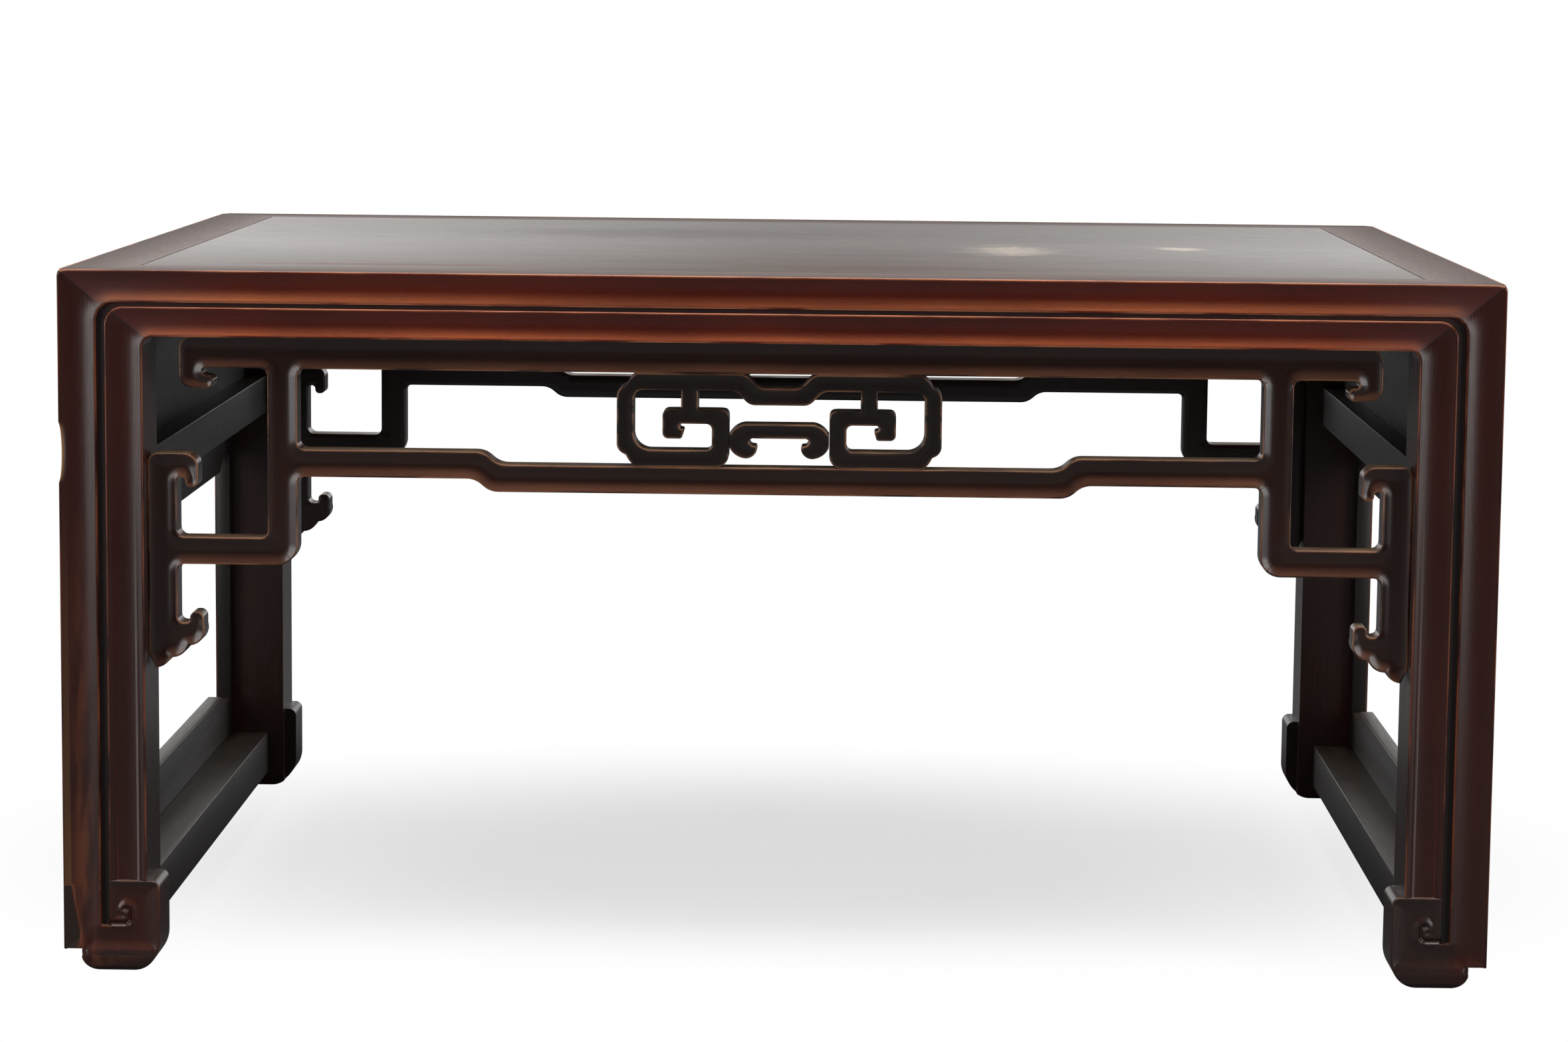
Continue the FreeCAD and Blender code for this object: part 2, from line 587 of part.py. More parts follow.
def apron(side):
    """One apron: a moulded bar under the rail, tongued into it and mitred to the legs."""
    name = "apron_" + side
    half = HALF_SPANS[side]
    near = S["apron_tongue_set_back"]
    far = near + S["apron_tongue"]
    rise = RAIL_BOTTOM + S["apron_tongue_rise"]
    back = S["apron_thickness"]
    path = Path(back, RAIL_BOTTOM).to(far, RAIL_BOTTOM).to(far, rise).to(near, rise)
    path.to(near, RAIL_BOTTOM).to(S["bead_radius"], RAIL_BOTTOM)
    mould(path, upright, RAIL_BOTTOM, APRON_BOTTOM, -1)
    path.to(back, APRON_BOTTOM)
    inside = half - INNER_BAND
    body = prism(name + "_blank", SECTION_SHARES, path, -inside, inside)
    tools = []
    tenons = []
    for sign, end in ((1, "a"), (-1, "b")):
        low = APRON_BOTTOM - OVER
        x, inner, out = inside * sign, (half - LEG) * sign, half * sign
        wedge = Path(x, RAIL_BOTTOM).to(inner, APRON_BOTTOM).to(inner, low)
        wedge.to(out, low).to(out, RAIL_BOTTOM)
        tools.append(prism("%s_mitre_%s" % (name, end), FRONT_SHARES, wedge, -OVER, back + OVER))
        tools.append(plan_mitre("%s_plan_mitre_%s" % (name, end), half, sign, low))
        corner = "%s_corner_%s" % (name, end)
        tools.append(apron_band_corner(corner, half, sign, S["groove_depth"]))
        tip = (half - LEG + S["apron_tenon_length"]) * sign
        root = (half - LEG - OVER) * sign
        ends = (root, tip) if sign > 0 else (tip, root)
        tenons.append(apron_tenon_box("%s_tenon_%s" % (name, end), *ends, ZERO))
    cut = less(name + "_cut", body, tools)
    whole = fused(name + "_with_tenons", [cut] + tenons)
    if side in ("front", "back"):
        keys = [top_key("%s_key_mortise_%s" % (name, end), sign, FIT) for sign, end in ((1, "a"), (-1, "b"))]
        whole = less(name, whole, keys)
    return finish(whole, name, side)


KEY_NEAR = S["fret_set_back"] + (S["fret_thickness"] - S["key_thickness"]) / 2
KEY_FAR = KEY_NEAR + S["key_thickness"]
KEY_LEVEL = APRON_BOTTOM - S["side_piece_drop"] - S["side_hook_neck"] - S["key_width"]


def top_key(name, sign, spare):
    """A loose key between the apron and the fretwork, or with spare its mortise."""
    place = (LEG_FACE - S["key_place"]) * sign
    half = S["key_width"] / 2 + spare
    reach = S["key_reach"] + spare
    return box(name, place - half, place + half, KEY_NEAR - spare, KEY_FAR + spare,
               APRON_BOTTOM - reach, APRON_BOTTOM + reach)


def leg_key(name, face, spare):
    """A loose key between a leg and the fretwork, or with spare its mortise."""
    reach = S["key_reach"] + spare
    half = S["key_width"] / 2 + spare
    return box(name, face - reach, face + reach, KEY_NEAR - spare, KEY_FAR + spare,
               KEY_LEVEL - half, KEY_LEVEL + half)


def leg_section():
    """The plan of a leg: two hollow mouldings and a groove on each outer face."""
    outer, groove, bead = S["leg_outer_band"], S["groove_depth"], S["bead_radius"]
    short = bead * QUARTER_SHARE
    path = Path(LEG, LEG).to(LEG, bead)
    mould(path, level, LEG, INNER_BAND, -1)
    path.to(INNER_BAND, groove).to(outer, groove).to(outer, bead)
    mould(path, level, outer, ZERO, -1)
    path.bow(S["dish_depth"], outer / 2, ZERO, outer - bead)
    path.bow(short, outer - short, bead, outer)
    path.to(groove, outer).to(groove, INNER_BAND).to(bead, INNER_BAND)
    mould(path, upright, INNER_BAND, LEG, 1)
    return path


def leg_top_cutters(name, plane, tag):
    """The cutters that shape the top of a leg, seen from one of its two faces."""
    outer = S["leg_outer_band"]
    slope = S["rail_band"].value / outer.value
    rise = Size(OVER.value * slope, "(%s * Sizes.rail_band / Sizes.leg_outer_band)" % OVER.text)
    out = LEG + OVER
    roof = Path(-OVER, TOP + rise).to(outer, TOP - S["rail_band"]).to(outer, RAIL_BOTTOM)
    roof.to(out, RAIL_BOTTOM).to(out, TOP + OVER * 2).to(-OVER, TOP + OVER * 2)
    seat = Path(INNER_BAND, RAIL_BOTTOM + OVER).to(INNER_BAND, RAIL_BOTTOM).to(LEG, APRON_BOTTOM)
    seat.to(out, APRON_BOTTOM).to(out, RAIL_BOTTOM + OVER)
    radius = S["band_corner"]
    short = radius * QUARTER_SHARE
    corner = Path(INNER_BAND, RAIL_BOTTOM).to(INNER_BAND, RAIL_BOTTOM - radius)
    corner.bow(INNER_BAND + short, RAIL_BOTTOM - short, INNER_BAND + radius, RAIL_BOTTOM)
    return [
        prism("%s_roof_%s" % (name, tag), plane, roof, -OVER, out),
        prism("%s_seat_%s" % (name, tag), plane, seat, -OVER, S["apron_thickness"]),
        prism("%s_corner_%s" % (name, tag), plane, corner, -OVER, S["groove_depth"]),
    ]


def leg_fillets(name, plane, tag, depth):
    """The rounded corners on one face of a leg, of the groove and, to a depth, of the opening."""
    outer, band = S["leg_outer_band"], TOP - S["rail_band"]
    pieces = []
    for what, x, z, radius, near, far in (
        ("groove", outer, band, S["band_corner"], S["dish_depth"] / 2, S["groove_depth"]),
        ("opening", LEG, APRON_BOTTOM, S["opening_corner"], S["bead_radius"], depth),
    ):
        short = radius * QUARTER_SHARE
        path = Path(x, z).to(x, z - radius).bow(x + short, z - short, x + radius, z)
        pieces.append(prism("%s_%s_fillet_%s" % (name, what, tag), plane, path, near, far))
    return pieces


def foot(name):
    """The carved foot: a block that turns inward and a rounded sole."""
    wide, high, curve = S["foot_width"], S["foot_height"], S["foot_curve"]
    sole, inset, outer = S["foot_sole_curve"], S["pad_inset"], S["leg_outer_band"]
    spread, rise = S["sole_spread"], S["sole_rise"]
    face = Path(INNER_BAND, S["scroll_level"]).to(INNER_BAND, high)
    face.corner(wide, high, "right", "down", S["foot_corner"])
    face.corner(wide, ZERO, "down", "left", curve)
    face.to(inset + spread, ZERO)
    face.bow(inset + spread * QUARTER_SHARE, rise * QUARTER_SHARE, inset, rise)
    face.to(inset, S["pad_height"]).to(outer, S["pad_height"]).to(outer, S["scroll_level"])
    block = prism(name + "_foot_face", FRONT_SHARES, face, ZERO, LEG)
    flank = Path(ZERO, high + OVER)
    flank.corner(ZERO, ZERO, "down", "right", sole)
    flank.corner(LEG, ZERO, "right", "up", sole)
    flank.to(LEG, high + OVER)
    side = prism(name + "_foot_side", SECTION_SHARES, flank, ZERO, wide + OVER)
    both = doc.addObject("Part::Common", name + "_foot_block")
    both.Base = block
    both.Tool = side
    end = LEG + OVER
    behind = box(name + "_foot_behind", LEG, wide + OVER, S["foot_depth"], end, -OVER, high + OVER)
    return less(name + "_foot", both, [behind])


def foot_scroll(name):
    """The line of the scroll carved in the face of a foot."""
    line, deep = S["scroll_groove"], S["scroll_depth"]
    low, reach = S["scroll_level"], S["scroll_reach"]
    rise = low + S["scroll_rise"]
    level_cut = box(name + "_scroll_level", S["leg_outer_band"], reach, -OVER, deep, low, low + line)
    upright_cut = box(name + "_scroll_upright", reach - line, reach, -OVER, deep, low, rise)
    hook = box(name + "_scroll_hook", reach - S["scroll_hook"], reach, -OVER, deep, rise - line, rise)
    return [level_cut, upright_cut, hook]


def leg(label):
    """One leg: moulded post with its tenons and mitres above and its carved foot below."""
    name = label
    high = TOP + OVER
    blank = prism(name + "_post", PLAN_SHARES, leg_section(), S["pad_height"], high)
    tools = leg_top_cutters(name, FRONT_SHARES, "front") + leg_top_cutters(name, SECTION_SHARES, "side")
    post = less(name + "_shaped", blank, tools)
    long_span, narrow_span = leg_tenon_spans()
    fillets = leg_fillets(name, FRONT_SHARES, "front", S["apron_thickness"])
    fillets += leg_fillets(name, SECTION_SHARES, "side", S["side_panel_set_back"])
    tenons = [
        leg_tenon_box(name + "_tenon_long", long_span, narrow_span, ZERO),
        leg_tenon_box(name + "_tenon_short", narrow_span, long_span, ZERO),
    ]
    whole = fused(name + "_whole", [post, foot(name)] + fillets + tenons)
    cuts = foot_scroll(name)
    cuts.append(leg_key(name + "_key_mortise", LEG, FIT))
    tenon_root = LEG - S["apron_tenon_length"] - FIT
    end = LEG + OVER
    cuts.append(apron_tenon_box(name + "_apron_mortise_front", tenon_root, end, FIT))
    near, far = S["apron_tongue_set_back"] - FIT, S["apron_tongue_set_back"] + S["apron_tenon"] + FIT
    low = APRON_BOTTOM + S["apron_tenon_margin"] - FIT
    apron_high = APRON_BOTTOM + S["apron_tenon_margin"] + S["apron_tenon"] + FIT
    cuts.append(box(name + "_apron_mortise_side", near, far, tenon_root, end, low, apron_high))
    for what, base, height in (
        ("stretcher", S["stretcher_level"], S["stretcher_height"]),
        ("side_rail", SIDE_RAIL_LEVEL, S["side_rail_height"]),
    ):
        near, far = S["side_tenon_place"] - FIT, S["side_tenon_place"] + S["side_tenon_width"] + FIT
        low = base + S["side_tenon_shoulder"] - FIT
        top = base + height - S["side_tenon_shoulder"] + FIT
        root = LEG - S["side_tenon_length"] - FIT
        cuts.append(box("%s_%s_mortise" % (name, what), near, far, root, end, low, top))
    middle = S["side_panel_set_back"] + S["side_panel_thickness"] / 2
    near, far = middle - S["side_panel_tongue"] / 2 - FIT, middle + S["side_panel_tongue"] / 2 + FIT
    low = SIDE_RAIL_TOP + S["side_panel_tongue_margin"] - FIT
    top = APRON_BOTTOM - S["side_panel_tongue_margin"] + FIT
    root = LEG - S["side_panel_tongue_reach"] - FIT
    cuts.append(box(name + "_side_panel_mortise", near, far, root, end, low, top))
    return less(name, whole, cuts)


def mirrored(source, label, normal):
    """The mirror image of a finished piece, across the middle of the table."""
    image = doc.addObject("Part::Mirroring", label)
    image.Source = source
    image.Normal = normal
    return finish(image, label)


def all_legs():
    """The four legs: one drawn at the front left corner, the others its mirror images."""
    first = leg("leg_front_left")
    first.setExpression("Placement.Base.x", (-HALF_LENGTH).text)
    first.setExpression("Placement.Base.y", (-HALF_DEPTH).text)
    finish(first, "leg_front_left")
    right = mirrored(first, "leg_front_right", Vector(1, 0, 0))
    mirrored(first, "leg_back_left", Vector(0, 1, 0))
    mirrored(right, "leg_back_right", Vector(0, 1, 0))


def side_tenons(name, base, height):
    """The tenons at both ends of a floor stretcher or an upper side rail."""
    root = HALF_DEPTH - LEG
    tip = root + S["side_tenon_length"]
    near = S["side_tenon_place"]
    far = near + S["side_tenon_width"]
    low, high = base + S["side_tenon_shoulder"], base + height - S["side_tenon_shoulder"]
    return box(name + "_tenons", -tip, tip, near, far, low, high)


def floor_stretcher(side):
    """The stretcher between two feet: moulded outside, with a hollow ledge above."""
    name = "floor_stretcher_" + side
    low, inner = S["stretcher_level"], S["stretcher_width"]
    wall = S["lining_set_back"] + S["lining_thickness"]
    path = Path(S["bead_radius"], low)
    mould_from(path, low, LEDGE, ZERO)
    path.to(wall, LEDGE).bow((wall + inner) / 2, LEDGE - S["ledge_hollow"], inner, LEDGE).to(inner, low)
    half = HALF_DEPTH - LEG
    bar = prism(name + "_bar", SECTION_SHARES, path, -half, half)
    tenons = side_tenons(name, low, S["stretcher_height"])
    return finish(fused(name, [bar, tenons]), name, side)


def mould_from(path, low, high, set_back):
    """Adds the moulded outer face of a side member, from its lower to its upper edge."""

    def place(along, depth):
        return depth + set_back, along

    mould(path, place, low, high, 1)


def side_rail(side):
    """The upper side rail, which carries the side panel and the inner frame."""
    name = "side_rail_" + side
    low = SIDE_RAIL_LEVEL
    high = low + S["side_rail_height"]
    back = S["side_rail_set_back"]
    path = Path(back + S["bead_radius"], low)
    mould_from(path, low, high, back)
    path.to(S["stretcher_width"], high).to(S["stretcher_width"], low)
    half = HALF_DEPTH - LEG
    bar = prism(name + "_bar", SECTION_SHARES, path, -half, half)
    tenons = side_tenons(name, low, S["side_rail_height"])
    return finish(fused(name, [bar, tenons]), name, side)


def side_panel(side):
    """The board between a side apron and its upper side rail, tongued into the legs."""
    name = "side_panel_" + side
    half = HALF_DEPTH - LEG
    near = S["side_panel_set_back"]
    low = SIDE_RAIL_TOP
    far = near + S["side_panel_thickness"]
    board = box(name + "_board", -half, half, near, far, low, APRON_BOTTOM)
    tongue = side_panel_tongue(name + "_tongue", half + S["side_panel_tongue_reach"], ZERO)
    return finish(fused(name, [board, tongue]), name, side)


def side_panel_tongue(name, reach, spare):
    """The tongue of a side panel, up to a distance from its middle, or with spare a groove."""
    middle = S["side_panel_set_back"] + S["side_panel_thickness"] / 2
    half = S["side_panel_tongue"] / 2 + spare
    low = SIDE_RAIL_TOP + S["side_panel_tongue_margin"] - spare
    high = APRON_BOTTOM - S["side_panel_tongue_margin"] + spare
    return box(name, -reach, reach, middle - half, middle + half, low, high)


def turned(first, corner, second, radius):
    """The ends and middle of the arc that rounds a corner between two points, in the plane."""
    back = (first - corner).normalize()
    ahead = (second - corner).normalize()
    half_angle = back.getAngle(ahead) / 2
    room = min(first.distanceToPoint(corner), second.distanceToPoint(corner)) / 2
    tangent = min(radius / math.tan(half_angle), room)
    radius = tangent * math.tan(half_angle)
    bisector = (back + ahead).normalize()
    middle = corner + bisector * (radius / math.sin(half_angle) - radius)
    return corner + back * tangent, middle, corner + ahead * tangent


def outline(corners, depth):
    """A closed wire at one depth through corners (x, z, rounding), rounded where they ask for it."""
    points = [Vector(x.value, depth.value, z.value) for x, z, _ in corners]
    edges = []
    ends = []
    for index, (_, _, rounding) in enumerate(corners):
        before, here = points[index - 1], points[index]
        after = points[(index + 1) % len(points)]
        if rounding is THROUGH:
            arc = (before, here, after)
        elif rounding.value > 0:
            arc = turned(before, here, after, rounding.value)
        else:
            ends.append((here, here))
            continue
        ends.append((arc[0], arc[2]))
        edges.append(Part.Arc(*arc).toShape())
    for (_, stop), (start, _) in zip(ends, ends[1:] + ends[:1]):
        if not stop.isEqual(start, Part.Precision.confusion()):
            edges.append(Part.LineSegment(stop, start).toShape())
    return Part.Wire(Part.__sortEdges__(edges))


def plate(corners, near, far):
    """A flat piece of an outline seen from its side, between two depths."""
    face = Part.Face(outline(corners, near))
    return face.extrude(Vector(0, (far - near).value, 0))


def block(near_x, far_x, near_y, far_y, near_z, far_z):
    """A plain block between two places along each axis."""
    spans = ((near_x, far_x), (near_y, far_y), (near_z, far_z))
    lengths = [(far - near).value for near, far in spans]
    return Part.makeBox(*lengths, Vector(near_x.value, near_y.value, near_z.value))


def shaped(label, shape, side):
    """Lists a shape made here as a sub-part on its side of the table."""
    piece = doc.addObject("Part::Feature", label)
    piece.Shape = shape
    return finish(piece, label, side)


def flipped(corners):
    """The mirror image of an outline across the middle of its side."""
    return [(-x, z, rounding) for x, z, rounding in reversed(corners)]


def half_turn(x, z, across, up, radius, edge):
    """Half of the quarter round of a square corner, from its level or upright edge to its middle."""
    near, far, end = radius * NEAR_SHARE, radius * FAR_SHARE, radius * QUARTER_SHARE
    if edge == "upright":
        steps = ((ZERO, radius, ZERO), (near, far, THROUGH), (end, end, ZERO))
    else:
        steps = ((radius, ZERO, ZERO), (far, near, THROUGH), (end, end, ZERO))
    return [(x + dx * across, z + dz * up, rounding) for dx, dz, rounding in steps]


def from_shares(shares, x, z, across, up, radius):
    """Corners at shares of a signed reach and height from a point, with shares of a rounding."""
    return [
        (x + across * wide, z + up * high, THROUGH if rounding is THROUGH else radius * rounding)
        for wide, high, rounding in shares
    ]


def lining(side):
    """The inner frame of a side opening: four mitred strips with stepped corners."""
    half = HALF_DEPTH - LEG
    near = S["lining_set_back"]
    far = near + S["lining_thickness"]
    low, high = LEDGE, SIDE_RAIL_LEVEL
    inner = half - S["lining_width"]
    step, ramp, soft = S["lining_notch"], S["lining_ramp"], S["lining_round"]
    turn = inner - S["lining_notch_length"] + ramp
    sill = low + S["lining_bottom_rise"]
    head = high - S["lining_top_drop"]
    lower = [(half, low, ZERO), (inner, sill - step, ZERO), (turn, sill - step, soft),
             (turn - ramp, sill, soft)]
    lower += flipped(lower)
    upper = [(half, high, ZERO), (inner, head + step, ZERO), (turn, head + step, soft),
             (turn - ramp, head, soft)]
    upper += flipped(upper)
    upright_strip = [(half, low, ZERO), (half, high, ZERO), (inner, head + step, ZERO),
                     (inner, sill - step, ZERO)]
    shaped("lining_bottom_" + side, plate(lower, near, far), side)
    shaped("lining_top_" + side, plate(upper, near, far), side)
    names = ("front", "back") if side == "left" else ("back", "front")
    strips = (flipped(upright_strip), upright_strip)
    for end, corners in zip(names, reversed(strips)):
        shaped("lining_%s_%s" % (end, side), plate(corners, near, far), side)


def fretwork(side):
    """The fretwork under a long apron: top bar, posts, lower bar, side bars and side pieces."""
    near = S["fret_set_back"]
    far = near + S["fret_thickness"]
    middle = near + S["fret_thickness"] / 2
    bar, post, point_in = S["fret_bar"], S["fret_post"], S["fret_shoulder"]
    soft, outer = S["fret_inner_round"], S["fret_outer_round"]
    ceiling = APRON_BOTTOM
    under = ceiling - S["fret_top_height"]
    place = LEG_FACE - S["fret_post_place"]
    outside, inside = place + post / 2, place - post / 2
    lower_top = ceiling - S["fret_lower_drop"]
    lower_bottom = lower_top - bar
    lower_middle = (lower_top + lower_bottom) / 2
    side_top = ceiling - S["fret_side_drop"]
    side_bottom = side_top - bar
    side_middle = (side_top + side_bottom) / 2
    face = LEG_FACE
    piece_edge = face - S["side_piece_width"]
    stub = S["fret_stub"]
    elbow, curl = S["fret_elbow_round"], S["hook_round"]

    def stub_tenon(x, z, across, up, spare):
        """The block of a stub tenon that leaves a point in the direction across, up."""
        thick = stub / 2 + spare
        reach = stub + spare
        wide_x = (x - thick, x + thick) if up else ((x, x + reach) if across > 0 else (x - reach, x))
        wide_z = (z, z + reach) if up else (z - thick, z + thick)
        return block(*wide_x, middle - thick, middle + thick, *wide_z)

    def shoulder_up(x):
        """The notch that a post's pointed head makes in the bar above, from left to right."""
        left = half_turn(x - post / 2, under, -1, -1, soft, "level")
        right = half_turn(x + post / 2, under, 1, -1, soft, "level")
        return left + [(x, under + point_in, ZERO)] + right[::-1]

    hook_low = under - S["hook_drop"]
    neck = hook_low + S["hook_tip_height"]
    end = LEG_FACE - S["hook_end"]
    root = end - S["hook_crook"]
    right_hook = [(root, under, curl), (root, neck, curl), (root - S["hook_tip"], neck, curl),
                  (root - S["hook_tip"], hook_low, outer), (end, hook_low, outer), (end, ceiling, outer)]
    lower_edge = shoulder_up(-place) + shoulder_up(place) + right_hook
    top_bar = plate(flipped(right_hook) + lower_edge, near, far)
    for sign in (1, -1):
        top_bar = top_bar.cut(stub_tenon(place * sign, under + point_in - stub, 0, 1, FIT))
        top_bar = top_bar.cut(stub_tenon(place * sign, under + point_in, 0, 1, FIT))
        key = S["key_width"] / 2 + FIT
        x = (LEG_FACE - S["key_place"]) * sign
        top_bar = top_bar.cut(block(x - key, x + key, KEY_NEAR - FIT, KEY_FAR + FIT,
                                    ceiling - S["key_reach"] - FIT, ceiling + OVER))
    shaped(side + "_fret_top_bar", top_bar, side)

    half_post = half_turn(inside, under, -1, -1, soft, "upright")
    half_post += [(place, under + point_in, ZERO)]
    half_post += half_turn(outside, under, 1, -1, soft, "upright")[::-1]
    half_post += half_turn(outside, side_top, 1, 1, soft, "upright")
    half_post += half_turn(inside, side_bottom, 1, 1, elbow, "upright")[::-1]
    half_post += half_turn(inside, lower_bottom, -1, -1, soft, "upright")
    half_post += [(inside + point_in, lower_middle, ZERO)]
    half_post += half_turn(inside, lower_top, -1, 1, soft, "upright")[::-1]
    right_post = plate(half_post, near, far)
    right_post = right_post.fuse(stub_tenon(place, under + point_in - stub, 0, 1, ZERO))
    right_post = right_post.fuse(stub_tenon(place, under + point_in, 0, 1, ZERO)).removeSplitter()
    right_post = right_post.cut(stub_tenon(inside + point_in - stub, lower_middle, 1, 0, FIT))
    right_post = right_post.cut(stub_tenon(inside + point_in, lower_middle, 1, 0, FIT))
    shaped(side + "_fret_post_right", right_post, side)
    shaped(side + "_fret_post_left", right_post.mirror(Vector(0, 0, 0), Vector(1, 0, 0)), side)

    dip, dip_half, ramp = S["fret_dip"], S["fret_dip_half"], S["fret_dip_ramp"]
    bend, low_half = S["fret_dip_round"], dip_half + S["fret_dip_spread"]
    half_bar = [(low_half, lower_bottom - dip, bend), (low_half + ramp, lower_bottom, bend)]
    half_bar += half_turn(inside, lower_bottom, -1, -1, soft, "level")
    half_bar += [(inside + point_in, lower_middle, ZERO)]
    half_bar += half_turn(inside, lower_top, -1, 1, soft, "level")[::-1]
    half_bar += [(dip_half + ramp, lower_top, bend), (dip_half, lower_top - dip, bend)]
    lower = plate(half_bar + flipped(half_bar), near, far)
    for sign in (1, -1):
        root = inside + point_in - stub
        lower = lower.fuse(stub_tenon(root * sign, lower_middle, sign, 0, ZERO))
        lower = lower.fuse(stub_tenon((inside + point_in) * sign, lower_middle, sign, 0, ZERO))
    shaped(side + "_fret_lower_bar", lower.removeSplitter(), side)

    side_bar = half_turn(outside, side_top, 1, 1, soft, "level")[::-1]
    side_bar += half_turn(piece_edge, side_top, -1, 1, soft, "level")
    side_bar += [(piece_edge + point_in, side_middle, ZERO)]
    side_bar += half_turn(piece_edge, side_bottom, -1, -1, soft, "level")[::-1]
    side_bar += half_turn(inside, side_bottom, 1, 1, elbow, "level")
    right_bar = plate(side_bar, near, far)
    shaped(side + "_fret_side_bar_right", right_bar, side)
    shaped(side + "_fret_side_bar_left", right_bar.mirror(Vector(0, 0, 0), Vector(1, 0, 0)), side)

    top = ceiling - S["side_piece_drop"]
    bottom = top - S["side_piece_length"]
    reach, tip_wide = face - S["side_hook_reach"], S["side_hook_tip"]
    neck, hook_end = top - S["side_hook_neck"], top - S["side_hook_drop"]
    cloud = from_shares(CLOUD_SHARES, face, bottom, -S["cloud_reach"], S["cloud_height"], outer)
    side_piece = [
        (face, top, outer * 0.7), (reach, top, outer), (reach, hook_end, curl),
        (reach + tip_wide, hook_end, curl), (reach + tip_wide, neck, curl), (piece_edge, neck, curl),
    ]
    side_piece += half_turn(piece_edge, side_top, -1, 1, soft, "upright")
    side_piece += [(piece_edge + point_in, side_middle, ZERO)]
    side_piece += half_turn(piece_edge, side_bottom, -1, -1, soft, "upright")[::-1]
    side_piece += [(piece_edge, cloud[0][1], curl)] + cloud
    right_piece = plate(side_piece, near, far)
    right_piece = right_piece.cut(block(face - S["key_reach"] - FIT, face + OVER, KEY_NEAR - FIT, KEY_FAR + FIT,
                                        KEY_LEVEL - S["key_width"] / 2 - FIT,
                                        KEY_LEVEL + S["key_width"] / 2 + FIT))
    shaped(side + "_fret_side_piece_right", right_piece, side)
    shaped(side + "_fret_side_piece_left", right_piece.mirror(Vector(0, 0, 0), Vector(1, 0, 0)), side)
    ornament(side, under, lower_top - dip, near, far)

    keys = [block(*spans) for spans in key_spans(face)]
    shaped(side + "_fret_keys", Part.makeCompound(keys), side)


def key_spans(face):
    """The spans of the four loose keys of one side: two in the apron and two in the legs."""
    spans = []
    half, reach = S["key_width"] / 2, S["key_reach"]
    for sign in (1, -1):
        x = (LEG_FACE - S["key_place"]) * sign
        spans.append((x - half, x + half, KEY_NEAR, KEY_FAR, APRON_BOTTOM - reach, APRON_BOTTOM + reach))
        x = face * sign
        spans.append((x - reach, x + reach, KEY_NEAR, KEY_FAR, KEY_LEVEL - half, KEY_LEVEL + half))
    return spans


def ornament(side, high, low, near, far):
    """The centre ornament: a dipped top bar, two squared scrolls and a bridge between them."""
    half, bar, soft = S["scroll_half"], S["scroll_bar"], S["scroll_round"]
    dip, dip_half, ramp = S["scroll_dip"], S["scroll_dip_half"], S["scroll_dip_ramp"]
    low_half, bend = dip_half + S["scroll_dip_spread"], S["scroll_dip_round"]
    corner, window = S["scroll_corner"], S["scroll_window"]
    post = S["scroll_post_place"]
    inner, tail = S["scroll_inner_end"], S["scroll_tail"]
    seam = high - S["scroll_seam_drop"]
    turn_low = low + S["scroll_turn_level"]
    turn_top = turn_low + S["scroll_inner_bar"]
    half_bar = [
        (low_half, high - dip - bar, bend), (low_half + ramp, high - bar, bend),
        (post - bar / 2, high - bar, ZERO), (post - bar / 2, turn_top, ZERO),
        (post + bar / 2, turn_top, ZERO), (post + bar / 2, high - bar, ZERO),
        (half - bar, high - bar, window * 0.8), (half - bar, seam, ZERO), (half, seam, ZERO),
    ]
    half_bar += from_shares(LOBE_SHARES, half, high, -corner, -corner, ZERO)
    half_bar += [(dip_half + ramp, high, bend), (dip_half, high - dip, bend)]
    shaped(side + "_ornament_top", plate(half_bar + flipped(half_bar), near, far), side)

    end, tip_level = low + S["scroll_tail_level"], low + S["scroll_tip_level"]
    tip = tail - bar - S["scroll_tip"]
    right_scroll = [
        (half, seam, ZERO), (half - bar, seam, ZERO), (half - bar, low + bar, window),
        (inner + bar, low + bar, soft), (inner + bar, turn_low, soft), (tail - bar, turn_low, soft / 2),
        (tail - bar, tip_level, soft / 2), (tip, tip_level, soft / 3),
        (tip + soft / 2, end, soft / 2), (tail, end, soft), (tail, turn_top, soft),
        (inner, turn_top, soft), (inner, low, S["scroll_heel"]),
    ]
    right_scroll += from_shares(LOBE_SHARES, half, low, -corner, corner, ZERO)[::-1]
    shape = plate(right_scroll, near, far)
    shaped(side + "_ornament_scroll_right", shape, side)
    shaped(side + "_ornament_scroll_left", shape.mirror(Vector(0, 0, 0), Vector(1, 0, 0)), side)

    half_bridge = from_shares(BRIDGE_SHARES, ZERO, low, S["bridge_half"], S["bridge_height"], soft)
    shaped(side + "_ornament_bridge", plate(half_bridge + flipped(half_bridge), near, far), side)


def check(pieces):
    """Stops if any object failed or any sub-part is not a sound solid."""
    for item in doc.Objects:
        if "Invalid" in item.State or "Error" in item.State:
            raise RuntimeError("%s failed: %s" % (item.Label, item.State))
    for piece in pieces:
        shape = piece.Shape
        if shape.isNull() or not shape.isValid() or not shape.Solids:
            raise RuntimeError("%s is not a sound solid" % piece.Label)


def build():
    """Makes every sub-part, checks them and writes one file for each."""
    top_panel()
    for end, sign in (("left", -1), ("right", 1)):
        batten(end, sign)
    for side in SIDES:
        top_rail(side)
        apron(side)
    all_legs()
    for side in ("left", "right"):
        floor_stretcher(side)
        side_rail(side)
        side_panel(side)
        lining(side)
    for side in ("front", "back"):
        fretwork(side)
    doc.recompute()
    check(finished)
    os.makedirs("parts", exist_ok=True)
    for piece in finished:
        piece.Shape.exportStep("parts/%s.step" % piece.Label)
    print("%d sub-parts written" % len(finished))


build()
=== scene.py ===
"""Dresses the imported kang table: carved mouldings, polished hardwood, plain studio and camera."""

